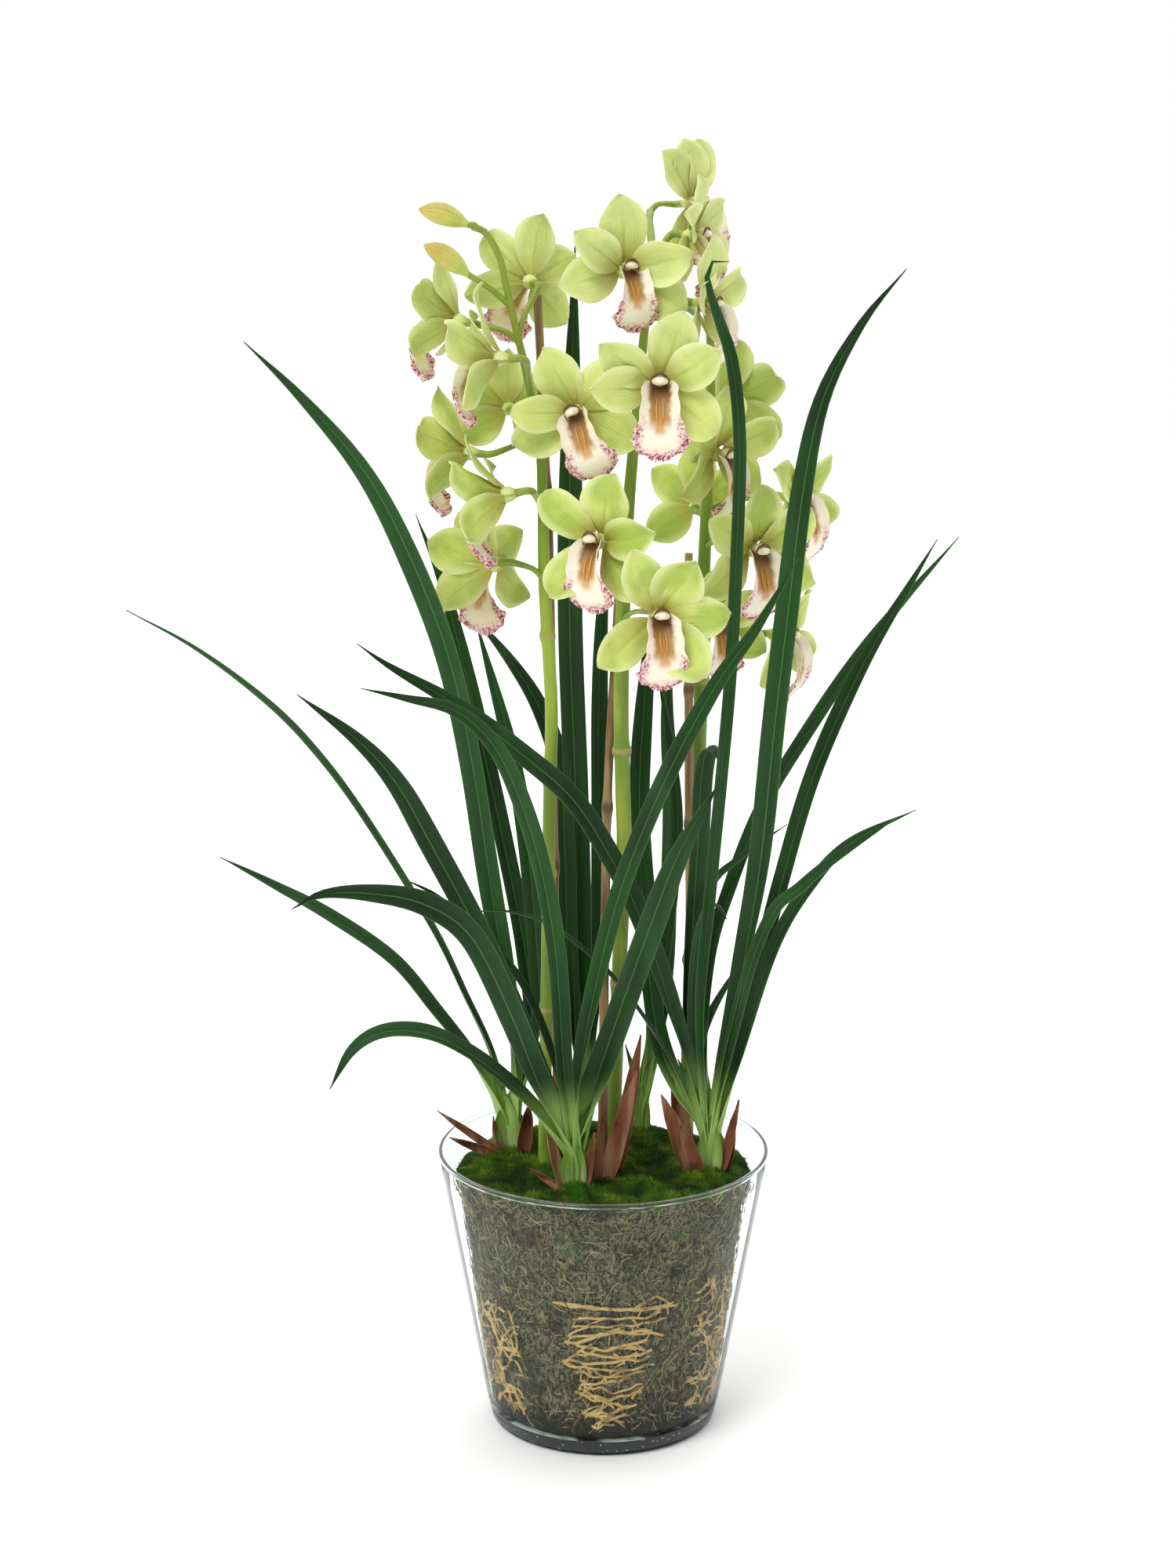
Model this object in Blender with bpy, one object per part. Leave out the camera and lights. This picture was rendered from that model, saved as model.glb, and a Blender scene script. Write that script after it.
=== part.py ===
"""Cymbidium planting in a clear conical glass vase.

Three flower spikes on canes and four leaf fans stand in moss over a rooted
block of soil. The origin is the middle of the vase's base, +Z is up and -Y is
the front. Every size and place below is in millimetres, and MM turns them
into Blender's metres where a mesh is made.

Directions are given as an azimuth and an elevation in degrees: azimuth 0 looks
to the front, 90 to the right (+X), 180 to the back and -90 to the left.
"""

import math

import bmesh
import bpy
from mathutils import Matrix, Vector

MM = 0.001
GAP = 0.3
UP = Vector((0.0, 0.0, 1.0))

# Vase: a straight cone of clear glass with a thick floor.
VASE_HEIGHT = 184.0
VASE_BASE_RADIUS = 73.8
VASE_RIM_RADIUS = 107.0
VASE_WALL = 3.0
VASE_FLOOR = 12.5
VASE_FOOT_ROUND = 5.0
VASE_RIM_ROUND = 1.0
VASE_FLOOR_ROUND = 2.5
VASE_SIDES = 30

# Filling: the soil block stands clear of the glass, and the roots lie between.
SOIL_BOTTOM = VASE_FLOOR + GAP
SOIL_TOP = 163.5
SOIL_BOTTOM_RADIUS = 68.5
SOIL_TOP_RADIUS = 92.0
SOIL_SIDES = 20
ROOT_RADIUS = 1.3
MOSS_BOTTOM = SOIL_TOP + GAP
MOSS_TOP = 170.5
MOSS_RADIUS = 92.5
MOSS_RINGS = (36.0, 66.0, 86.0)
MOSS_SIDES = 20
MOSS_BUMP = 1.7
MOSS_EDGE_FROM = 70.0
MOSS_EDGE_DROP = 2.6
NECK_HEIGHT = MOSS_TOP + 6.0

# Holes in moss and soil: the clearance round what stands in them.
HOLE_CLEARANCE = 0.4
FOOT_DEPTH = 148.0
CANE_DEPTH = 60.0
STEM_DEPTH = 140.0

# Leaves.
LEAF_THICKNESS = 0.8
LEAF_FOLD_BASE = 52.0
LEAF_FOLD_TIP = 13.0
LEAF_NARROW = 9.5
LEAF_TAPER_FROM = 0.66

# Blooms: tepals, lip and column, in the flower's own frame. There +Z faces out
# of the flower, +Y is towards its upper sepal and the hub is at the origin.
SEPAL_LENGTH = 43.5
SEPAL_WIDTH = 30.0
PETAL_LENGTH = 42.0
PETAL_WIDTH = 27.0
TEPAL_THICKNESS = 0.9
TEPAL_OUTLINE = ((0.0, 0.11), (0.22, 0.76), (0.53, 1.0), (0.84, 0.72), (1.0, 0.0))
TEPAL_CURL = 20.0
SEPAL_CUP = 0.08
PETAL_CUP = 0.2
SEPAL_SEAT = -1.4
PETAL_SEAT = 1.2
TEPAL_SPREAD = (91.0, 31.0, 150.0, -33.0, 213.0)
HUB_RADIUS = 4.5
HUB_FRONT = 2.4
HUB_BACK = -7.0
HUB_BACK_RADIUS = 2.3
LIP_THICKNESS = 0.9
LIP_ROWS = (
    # y, z, half width, rise of the side lobes
    (-0.6, 4.6, 3.6, 1.6),
    (-8.0, 12.0, 9.5, 8.0),
    (-18.0, 16.5, 11.0, 7.0),
    (-31.0, 16.5, 16.0, 0.5),
    (-42.5, 9.0, 11.5, -3.5),
)
LIP_COLUMNS = ((-1.0, 1.0), (-0.72, 0.3), (0.0, 0.0), (0.72, 0.3), (1.0, 1.0))
LIP_FRILL = 1.2
COLUMN_RINGS = (
    # y, z, radius across, radius deep
    (0.6, 3.0, 3.2, 2.8),
    (3.0, 11.0, 4.6, 3.0),
    (-0.2, 21.0, 3.6, 2.2),
)
COLUMN_SIDES = 5
PEDICEL_RADIUS = 2.0
PEDICEL_STEPS = 3
PEDICEL_REACH = 9.0
PEDICEL_OVERLAP = 0.6
PEDICEL_LEAVE = 0.35
PEDICEL_RISE = 3.0

# Canes.
CANE_RADIUS = 3.3
CANE_NODE_RISE = 0.7


def direction(azimuth, elevation=0.0):
    """Unit vector that looks along an azimuth and an elevation in degrees."""
    turn = math.radians(azimuth)
    lift = math.radians(elevation)
    return Vector((math.sin(turn) * math.cos(lift), -math.cos(turn) * math.cos(lift), math.sin(lift)))


def mix(start, end, share):
    return start + (end - start) * share


def ease(value):
    """Smooth step from 0 to 1, held outside that range."""
    value = min(max(value, 0.0), 1.0)
    return value * value * (3.0 - 2.0 * value)


def spline_point(points, index, share):
    """Point of a Catmull-Rom curve on the stretch that starts at index."""
    before = points[index - 1] if index > 0 else points[0] * 2.0 - points[1]
    start = points[index]
    end = points[index + 1]
    after = points[index + 2] if index + 2 < len(points) else points[-1] * 2.0 - points[-2]
    cubed = share ** 3
    squared = share ** 2
    return 0.5 * (
        2.0 * start
        + (end - before) * share
        + (2.0 * before - 5.0 * start + 4.0 * end - after) * squared
        + (3.0 * start - before - 3.0 * end + after) * cubed
    )


def smooth_path(route, count):
    """Evenly spaced points, count of them, on a smooth curve through the route."""
    points = [Vector(point) for point in route]
    fine = []
    for index in range(len(points) - 1):
        for part in range(16):
            fine.append(spline_point(points, index, part / 16.0))
    fine.append(points[-1])
    lengths = [0.0]
    for start, end in zip(fine, fine[1:]):
        lengths.append(lengths[-1] + (end - start).length)
    path = []
    place = 0
    for number in range(count):
        target = lengths[-1] * number / (count - 1)
        while place < len(fine) - 2 and lengths[place + 1] < target:
            place += 1
        stretch = lengths[place + 1] - lengths[place]
        path.append(fine[place].lerp(fine[place + 1], (target - lengths[place]) / stretch))
    return path


def tangents(path):
    """Unit direction of the path at each of its points."""
    last = len(path) - 1
    return [(path[min(i + 1, last)] - path[max(i - 1, 0)]).normalized() for i in range(last + 1)]


def sheet(top, bottom, rooted=False):
    """Closed thin solid between two grids of points, split alike on both faces.

    Rows run along the sheet and may end in a single point. The top face looks
    along columns x rows. A rooted sheet is left open at its first row.
    """
    columns = max(len(row) for row in top)
    verts = []
    place = {}
    for side, grid in enumerate((top, bottom)):
        for i, row in enumerate(grid):
            for j in range(columns):
                if j < len(row):
                    verts.append(row[j])
                place[side, i, j] = len(verts) - 1
    middle = (columns - 1) / 2.0
    faces = []
    for i in range(len(top) - 1):
        for j in range(columns - 1):
            for side in (0, 1):
                a = place[side, i, j]
                b = place[side, i, j + 1]
                c = place[side, i + 1, j + 1]
                d = place[side, i + 1, j]
                pair = [(a, b, c), (a, c, d)] if j < middle else [(a, b, d), (b, c, d)]
                faces += [face if side == 0 else face[::-1] for face in pair]
        for j, step in ((0, 0), (columns - 1, 1)):
            a = place[0, i, j]
            b = place[0, i + 1, j]
            c = place[1, i + 1, j]
            d = place[1, i, j]
            pair = [(a, b, c), (a, c, d)]
            faces += pair if step == 0 else [face[::-1] for face in pair]
    for i, step in ((len(top) - 1, 0),) if rooted else ((0, 1), (len(top) - 1, 0)):
        for j in range(columns - 1):
            a = place[0, i, j]
            b = place[0, i, j + 1]
            c = place[1, i, j + 1]
            d = place[1, i, j]
            pair = [(a, b, c), (a, c, d)]
            faces += pair if step == 0 else [face[::-1] for face in pair]
    return verts, [face for face in faces if len(set(face)) == 3]


def ring_solid(rings):
    """Closed solid from rings of points that each run anticlockwise on the way."""
    sides = len(rings[0])
    verts = [point for ring in rings for point in ring]
    faces = []
    for i in range(len(rings) - 1):
        for k in range(sides):
            a = i * sides + k
            b = i * sides + (k + 1) % sides
            faces += [(a, b, b + sides), (a, b + sides, a + sides)]
    last = (len(rings) - 1) * sides
    for k in range(1, sides - 1):
        faces.append((0, k + 1, k))
        faces.append((last, last + k, last + k + 1))
    return verts, faces


def tube(path, radii, sides, across=None):
    """Round or oval rod along a path; radii is one (wide, deep) pair a point."""
    ways = tangents(path)
    axis = (across or Vector((1.0, 0.0, 0.0))).copy()
    rings = []
    for point, way, (wide, deep) in zip(path, ways, radii):
        axis = (axis - way * axis.dot(way)).normalized()
        other = way.cross(axis)
        ring = []
        for k in range(sides):
            turn = math.tau * k / sides
            ring.append(point + axis * wide * math.cos(turn) + other * deep * math.sin(turn))
        rings.append(ring)
    return ring_solid(rings)


def material(name, colour, roughness, alpha=1.0):
    made = bpy.data.materials.new(name)
    made.use_nodes = True
    made.diffuse_color = (*colour, alpha)
    shader = made.node_tree.nodes["Principled BSDF"]
    shader.inputs["Base Color"].default_value = (*colour, 1.0)
    shader.inputs["Roughness"].default_value = roughness
    shader.inputs["Metallic"].default_value = 0.0
    shader.inputs["Alpha"].default_value = alpha
    return made


def mesh_object(name, solid, surface, sharp=50.0):
    """Object in the scene from a solid in millimetres."""
    verts, faces = solid
    mesh = bpy.data.meshes.new(name)
    mesh.from_pydata([tuple(point) for point in verts], [], faces)
    mesh.materials.append(surface)
    made = bpy.data.objects.new(name, mesh)
    bpy.context.scene.collection.objects.link(made)
    finish(made, sharp)
    return made


def finish(made, sharp):
    """Turn a mesh in millimetres into metres and shade it."""
    mesh = made.data
    mesh.transform(Matrix.Scale(MM, 4))
    mesh.update()
    mesh.shade_smooth()
    mesh.set_sharp_from_angle(angle=math.radians(sharp))


def raw_object(name, solid, home):
    mesh = bpy.data.meshes.new(name)
    mesh.from_pydata([tuple(point) for point in solid[0]], [], solid[1])
    made = bpy.data.objects.new(name, mesh)
    home.objects.link(made)
    return made


def joined_object(name, solids, surface, sharp=50.0):
    """One closed body from several solids that run into each other."""
    scene_home = bpy.context.scene.collection
    pieces = bpy.data.collections.new(name + "_pieces")
    scene_home.children.link(pieces)
    body = raw_object(name, solids[0], scene_home)
    for number, solid in enumerate(solids[1:]):
        raw_object(f"{name}_piece_{number}", solid, pieces)
    union = body.modifiers.new("union", "BOOLEAN")
    union.operation = "UNION"
    union.operand_type = "COLLECTION"
    union.collection = pieces
    union.solver = "EXACT"
    bpy.context.view_layer.update()
    shape = body.evaluated_get(bpy.context.evaluated_depsgraph_get())
    mesh = bpy.data.meshes.new_from_object(shape)
    body.modifiers.clear()
    body.data = mesh
    for piece in list(pieces.objects):
        bpy.data.objects.remove(piece)
    bpy.data.collections.remove(pieces)
    tidy_mesh(mesh)
    mesh.materials.clear()
    mesh.materials.append(surface)
    finish(body, sharp)
    return body


def tidy_mesh(mesh):
    """Weld coincident points and split every face into triangles."""
    work = bmesh.new()
    work.from_mesh(mesh)
    bmesh.ops.remove_doubles(work, verts=work.verts, dist=0.0005)
    bmesh.ops.dissolve_degenerate(work, edges=work.edges, dist=0.0005)
    bmesh.ops.triangulate(work, faces=work.faces)
    work.to_mesh(mesh)
    work.free()


def cut_holes(body, cutters):
    """Cut plain round holes with one Boolean that stays on the object."""
    cut = body.modifiers.new("holes", "BOOLEAN")
    cut.operation = "DIFFERENCE"
    cut.operand_type = "COLLECTION"
    cut.collection = cutters
    cut.solver = "EXACT"


# Vase


def vase_radius(height):
    """Outer radius of the glass at a height."""
    return mix(VASE_BASE_RADIUS, VASE_RIM_RADIUS, height / VASE_HEIGHT)


def turned_solid(profile, sides):
    """Solid of revolution; the profile starts and ends on the axis, outside first."""
    verts = [Vector((0.0, 0.0, profile[0][1]))]
    for radius, height in profile[1:-1]:
        for k in range(sides):
            turn = math.tau * k / sides
            verts.append(Vector((radius * math.cos(turn), radius * math.sin(turn), height)))
    verts.append(Vector((0.0, 0.0, profile[-1][1])))
    last = len(verts) - 1
    rows = len(profile) - 2
    faces = []
    for k in range(sides):
        following = (k + 1) % sides
        faces.append((0, 1 + following, 1 + k))
        faces.append((last, 1 + (rows - 1) * sides + k, 1 + (rows - 1) * sides + following))
        for row in range(rows - 1):
            a = 1 + row * sides + k
            b = 1 + row * sides + following
            faces.append((a, b, b + sides, a + sides))
    return verts, faces


def build_vase():
    glass = material("clear_glass", (0.80, 0.86, 0.83), 0.04, 0.35)
    lean = (VASE_RIM_RADIUS - VASE_BASE_RADIUS) / VASE_HEIGHT
    inner_floor_radius = vase_radius(VASE_FLOOR) - VASE_WALL
    half_wall = VASE_WALL / 2.0
    profile = (
        (0.0, 0.0),
        (VASE_BASE_RADIUS - VASE_FOOT_ROUND, 0.0),
        (VASE_BASE_RADIUS - 1.2, 1.8),
        (vase_radius(VASE_FOOT_ROUND), VASE_FOOT_ROUND),
        (vase_radius(VASE_HEIGHT) - lean, VASE_HEIGHT - VASE_RIM_ROUND),
        (VASE_RIM_RADIUS - half_wall, VASE_HEIGHT),
        (VASE_RIM_RADIUS - VASE_WALL, VASE_HEIGHT - VASE_RIM_ROUND),
        (inner_floor_radius + VASE_FLOOR_ROUND * lean, VASE_FLOOR + VASE_FLOOR_ROUND),
        (inner_floor_radius - VASE_FLOOR_ROUND, VASE_FLOOR),
        (0.0, VASE_FLOOR),
    )
    mesh_object("vase", turned_solid(profile, VASE_SIDES), glass, 35.0)


# Filling


def soil_radius(height):
    return mix(SOIL_BOTTOM_RADIUS, SOIL_TOP_RADIUS, (height - SOIL_BOTTOM) / (SOIL_TOP - SOIL_BOTTOM))


def plug_cutters(name, bottom_of):
    """Collection of round cutters for all that stands in the filling."""
    home = bpy.data.collections.new(name)
    bpy.context.scene.collection.children.link(home)
    for number, (x, y, radius, depth, sides) in enumerate(plugs()):
        wide = radius + HOLE_CLEARANCE
        path = [Vector((x, y, bottom_of(depth))), Vector((x, y, VASE_HEIGHT + 20.0))]
        solid = tube(path, [(wide, wide)] * 2, sides)
        cutter = raw_object(f"{name}_{number}", solid, home)
        finish(cutter, 30.0)
        cutter.hide_render = True
        cutter.display_type = "WIRE"
    return home


def plugs():
    """What stands in the filling: x, y, radius, floor of its hole, sides."""
    rows = []
    for x, y in FAN_FEET:
        rows.append((x, y, BULB_FOOT_RADIUS, FOOT_DEPTH, BULB_SIDES))
    for spike in SPIKES:
        x, y, _ = spike["route"][0]
        rows.append((x, y, spike["radius"], STEM_DEPTH, STEM_SIDES))
    for _, route in CANES:
        x, y, _ = route[0]
        rows.append((x, y, CANE_RADIUS, CANE_DEPTH, CANE_SIDES))
    return rows


def build_soil():
    brown = material("dark_substrate", (0.10, 0.10, 0.06), 0.95)
    profile = (
        (0.0, SOIL_BOTTOM),
        (SOIL_BOTTOM_RADIUS - 2.0, SOIL_BOTTOM),
        (SOIL_BOTTOM_RADIUS + 0.3, SOIL_BOTTOM + 2.0),
        (SOIL_TOP_RADIUS, SOIL_TOP),
        (0.0, SOIL_TOP),
    )
    body = mesh_object("soil", turned_solid(profile, SOIL_SIDES), brown, 40.0)
    cut_holes(body, plug_cutters("soil_cutters", lambda depth: depth))


def moss_height(x, y, radius):
    """Height of the cushiony moss top."""
    bumps = math.sin(x / 11.0 + 0.6) * math.cos(y / 13.0 - 0.4)
    bumps += 0.6 * math.sin(x / 23.0 - y / 17.0 + 1.2)
    edge = ease((radius - MOSS_EDGE_FROM) / (MOSS_RADIUS - MOSS_EDGE_FROM))
    return MOSS_TOP + MOSS_BUMP * bumps * (1.0 - 0.6 * edge) - MOSS_EDGE_DROP * edge


def build_moss():
    green = material("moss_green", (0.07, 0.17, 0.02), 0.9)
    top_middle = Vector((0.0, 0.0, moss_height(0.0, 0.0, 0.0)))
    bottom_middle = Vector((0.0, 0.0, MOSS_BOTTOM))
    verts = [bottom_middle]
    for radius, low in ((MOSS_RADIUS - 1.0, True), (MOSS_RADIUS, False)):
        for k in range(MOSS_SIDES):
            turn = math.tau * k / MOSS_SIDES
            x = radius * math.cos(turn)
            y = radius * math.sin(turn)
            verts.append(Vector((x, y, MOSS_BOTTOM if low else moss_height(x, y, radius) - 1.4)))
    for radius in reversed(MOSS_RINGS):
        for k in range(MOSS_SIDES):
            turn = math.tau * k / MOSS_SIDES
            x = radius * math.cos(turn)
            y = radius * math.sin(turn)
            verts.append(Vector((x, y, moss_height(x, y, radius))))
    verts.append(top_middle)
    last = len(verts) - 1
    rows = 2 + len(MOSS_RINGS)
    faces = []
    for k in range(MOSS_SIDES):
        following = (k + 1) % MOSS_SIDES
        faces.append((0, 1 + following, 1 + k))
        faces.append((last, 1 + (rows - 1) * MOSS_SIDES + k, 1 + (rows - 1) * MOSS_SIDES + following))
        for row in range(rows - 1):
            a = 1 + row * MOSS_SIDES + k
            b = 1 + row * MOSS_SIDES + following
            faces += [(a, b, b + MOSS_SIDES), (a, b + MOSS_SIDES, a + MOSS_SIDES)]
    body = mesh_object("moss", (verts, faces), green, 60.0)
    cut_holes(body, plug_cutters("moss_cutters", lambda depth: MOSS_BOTTOM - 5.0))


# Roots

ROOT_PATCHES = (-90.0, -146.0, -34.0, 150.0, 30.0)
ROOT_FRONT_PATCHES = 3
ROOT_HOOP_HEIGHT = 26.0
ROOT_HOOP_WAVE = 3.0
ROOT_HOOP_POINTS = 14
ROOT_LEVELS = (44.0, 66.0, 88.0, 110.0)
ROOT_REACH = 21.0
ROOT_LIFT = 1.3
ROOT_SIDES = 3


def on_soil(turn, height):
    """Point beside the soil at an angle in degrees, where a root's middle lies."""
    radius = soil_radius(height) + ROOT_RADIUS + ROOT_LIFT
    return Vector((radius * math.cos(math.radians(turn)), radius * math.sin(math.radians(turn)), height))


def root(points):
    """Three-sided strand through the points, with its flat side to the soil."""
    path = [Vector(point) for point in points]
    rings = []
    for point, way in zip(path, tangents(path)):
        out = Vector((point.x, point.y, 0.0)).normalized()
        out = (out - way * out.dot(way)).normalized()
        other = way.cross(out)
        ring = []
        for side in range(ROOT_SIDES):
            turn = math.tau * side / ROOT_SIDES
            ring.append(point + (out * math.cos(turn) + other * math.sin(turn)) * ROOT_RADIUS)
        rings.append(ring)
    return ring_solid(rings)


def build_roots():
    tan = material("root_tan", (0.60, 0.45, 0.20), 0.75)
    solids = []
    for half in (0.0, 180.0):
        hoop = []
        for part in range(ROOT_HOOP_POINTS):
            turn = half - 4.0 + part * 188.0 / (ROOT_HOOP_POINTS - 1)
            wave = ROOT_HOOP_WAVE * math.sin(math.radians(turn * 5.0 + half))
            hoop.append(on_soil(turn, ROOT_HOOP_HEIGHT + wave))
        solids.append(root(hoop))
    for patch, centre in enumerate(ROOT_PATCHES):
        winding = [on_soil(centre - ROOT_REACH, ROOT_HOOP_HEIGHT - 2.0)]
        for level, height in enumerate(ROOT_LEVELS):
            way = 1.0 if level % 2 == 0 else -1.0
            reach = ROOT_REACH - 2.5 * ((level * 2 + patch) % 3)
            for part in (-1.0, -0.1, 1.0):
                rise = 4.5 * math.sin(part * 4.0 + level + patch)
                winding.append(on_soil(centre + way * part * reach, height + rise))
        solids.append(root(winding))
        if patch > ROOT_FRONT_PATCHES - 1:
            continue
        climbing = []
        for part in range(5):
            height = mix(ROOT_HOOP_HEIGHT - 3.0, ROOT_LEVELS[-1] + 10.0, part / 4.0)
            climbing.append(on_soil(centre + 9.0 * math.sin(part * 1.7 + patch), height))
        solids.append(root(climbing))
    joined_object("roots", solids, tan)


# Leaf fans

BULB_FOOT_RADIUS = 6.8
BULB_SIDES = 8
BULB_RINGS = (
    # height, width as a share of the fan's own, depth, share of the lean
    (190.0, 0.9, 1.05, 0.5),
    (202.0, 1.0, 0.95, 0.9),
    (213.0, 0.6, 0.5, 1.3),
)
BULB_STRAIGHT_TO = 181.5
RHIZOME_HEIGHT = 184.0
RHIZOME_RADIUS = 4.2
FAN_FEET = ((-62.5, 35.0), (-18.5, -32.0), (69.0, -3.0), (-14.0, 62.0), (26.0, 71.0))

# Each leaf: width, azimuth of its upper face at the base and further up, how
# far that face looks up, and the route of its midrib.
LEFT_LEAVES = (
    (17.0, 80.0, -20.0, 12.0, ((-61, 33, 186), (-60, 24, 242), (-64, 15, 292), (-70, 4, 343),
                               (-82, -10, 440), (-97, -20, 515), (-121, -30, 582), (-146, -40, 632),
                               (-181, -48, 676), (-215, -56, 711))),
    (9.0, 70.0, 60.0, 40.0, ((-64, 36, 186), (-74, 38, 233), (-92, 40, 275), (-114, 44, 322),
                             (-157, 50, 393), (-187, 54, 434), (-217, 58, 465), (-262, 64, 499),
                             (-307, 66, 525))),
    (12.0, 80.0, 30.0, 45.0, ((-65, 33, 186), (-84, 22, 232), (-109, 10, 273), (-135, -4, 311),
                              (-173, -22, 345), (-206, -36, 369), (-238, -48, 391))),
    (14.0, -80.0, 25.0, 8.0, ((-59, 38, 188), (-46, 46, 250), (-51, 52, 299), (-63, 58, 361),
                              (-76, 62, 423), (-101, 76, 529), (-121, 86, 584))),
    (13.0, -80.0, -20.0, 8.0, ((-58, 34, 188), (-42, 35, 251), (-42, 34, 295), (-49, 33, 380),
                               (-59, 35, 441), (-82, 50, 523))),
)
FRONT_LEAVES = (
    (17.0, 80.0, 10.0, 20.0, ((-22, -32, 188), (-40, -38, 241), (-57, -46, 290), (-78, -56, 344),
                              (-107, -66, 405), (-127, -72, 444), (-150, -76, 472), (-186, -78, 501))),
    (14.0, 80.0, 20.0, 55.0, ((-23, -34, 186), (-40, -44, 217), (-59, -58, 245), (-83, -72, 270),
                              (-109, -86, 288), (-135, -98, 293), (-154, -106, 284), (-168, -112, 261))),
    (18.0, 80.0, 0.0, 30.0, ((-22, -37, 189), (-40, -52, 240), (-59, -66, 297), (-82, -80, 349),
                             (-110, -92, 373), (-143, -100, 382), (-171, -106, 383), (-189, -110, 375))),
    (7.0, 80.0, 40.0, 30.0, ((-20, -31, 187), (-33, -24, 253), (-52, -22, 301), (-74, -28, 329),
                             (-103, -36, 361), (-126, -42, 376))),
    (14.0, 0.0, 20.0, 25.0, ((-18, -34, 189), (-25, -44, 247), (-30, -50, 327), (-39, -54, 384),
                             (-52, -58, 430), (-68, -60, 465), (-91, -62, 487), (-120, -64, 495),
                             (-148, -66, 502))),
    (13.0, -70.0, -10.0, 15.0, ((-17, -37, 189), (-14, -48, 255), (-3, -56, 319), (12, -62, 379),
                                (38, -72, 448), (68, -80, 508), (91, -86, 543), (115, -94, 587))),
    (19.0, -80.0, 10.0, 5.0, ((-15, -31, 187), (-6, -34, 234), (10, -38, 288), (29, -42, 345),
                              (46, -46, 392), (70, -48, 437))),
)
RIGHT_LEAVES = (
    (15.0, 80.0, 10.0, 25.0, ((63, -6, 190), (51, -8, 249), (38, -14, 298), (21, -22, 349),
                              (2, -28, 389), (-20, -34, 425), (-49, -40, 453), (-88, -45, 485),
                              (-131, -50, 512), (-151, -52, 527))),
    (7.0, 80.0, 60.0, 60.0, ((63, -1, 190), (47, -4, 233), (32, -10, 264), (10, -18, 298),
                             (-12, -21, 322), (-37, -20, 340), (-60, -18, 347), (-82, -16, 347))),
    (14.0, 80.0, 20.0, 8.0, ((64, 2, 190), (47, 4, 222), (35, 6, 257), (29, 12, 298),
                             (25, 18, 343), (23, 24, 389))),
    (12.0, 80.0, 45.0, 5.0, ((67, 0, 190), (57, 5, 252), (57, 8, 298), (61, 6, 332),
                             (66, 2, 346), (73, -5, 348), (78, -10, 340)), (0.78, -140.0)),
    (16.0, 20.0, 30.0, 0.0, ((68, 2, 192), (57, 14, 249), (57, 19, 315), (60, 22, 377), (62, 21, 424),
                             (65, 17, 443), (70, 9, 449), (75, 1, 443), (77, -3, 428)), (0.84, -140.0)),
    (9.0, -40.0, 15.0, 5.0, ((68, -8, 192), (62, -14, 279), (67, -24, 364), (72, -34, 432),
                             (77, -42, 503), (80, -47, 582), (81, -50, 650), (76, -50, 698),
                             (67, -48, 730), (60, -48, 750), (64, -51, 760), (71, -54, 756)), (0.93, 5.0)),
    (17.0, -80.0, -25.0, 8.0, ((73, -8, 192), (79, -16, 249), (88, -24, 309), (98, -36, 384),
                               (105, -46, 472), (112, -54, 547), (120, -60, 625), (131, -62, 679),
                               (153, -64, 723), (178, -66, 755))),
    (13.0, -80.0, -30.0, 15.0, ((74, -2, 192), (85, 6, 234), (99, 14, 292), (115, 24, 355),
                                (136, 36, 425), (166, 50, 491), (194, 60, 538), (214, 68, 571))),
    (12.0, -60.0, -40.0, 20.0, ((70, 3, 192), (67, 12, 249), (71, 24, 308), (83, 36, 348),
                                (102, 50, 394), (128, 64, 436), (174, 86, 500), (232, 106, 566))),
    (10.0, -80.0, -20.0, 35.0, ((75, -5, 192), (84, -14, 235), (97, -26, 294), (111, -38, 339),
                                (129, -50, 374), (152, -62, 404), (190, -78, 429))),
    (9.0, -60.0, -10.0, 35.0, ((70, -8, 192), (89, -30, 301), (105, -48, 354), (121, -60, 374),
                               (140, -72, 395), (178, -94, 429))),
    (7.0, -40.0, -30.0, 30.0, ((67, 5, 190), (60, 11, 264), (60, 14, 316), (69, 22, 352),
                               (87, 32, 368), (119, 46, 388))),
    (7.0, -40.0, -30.0, 30.0, ((66, 1, 190), (62, 6, 237), (68, 14, 265), (90, 34, 300))),
)
BACK_LEAVES = (
    (18.0, 0.0, 10.0, 5.0, ((-14, 63, 190), (-14, 68, 276), (-18, 75, 400), (-22, 79, 520),
                            (-21, 79, 640), (-18, 76, 759))),
    (13.0, -20.0, 20.0, 5.0, ((-12, 66, 190), (-4, 82, 298), (-3, 90, 378), (-3, 98, 456),
                              (-1, 106, 518), (6, 116, 584))),
    (15.0, 60.0, 15.0, 15.0, ((-16, 63, 190), (-23, 64, 279), (-25, 68, 359), (-29, 74, 419),
                              (-42, 84, 457), (-62, 96, 487), (-88, 110, 516))),
    (15.0, 0.0, 0.0, 5.0, ((24, 70, 190), (34, 75, 235), (32, 80, 290), (26, 86, 352),
                           (24, 90, 404), (29, 96, 482), (36, 104, 540))),
    (9.0, 0.0, -20.0, 5.0, ((27, 69, 190), (38, 72, 270), (46, 72, 333), (49, 72, 385),
                            (44, 76, 435), (35, 84, 483))),
    (14.0, -20.0, 30.0, 5.0, ((28, 73, 190), (40, 92, 268), (43, 106, 336), (44, 118, 392),
                              (42, 132, 447), (46, 150, 505))),
)


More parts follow.
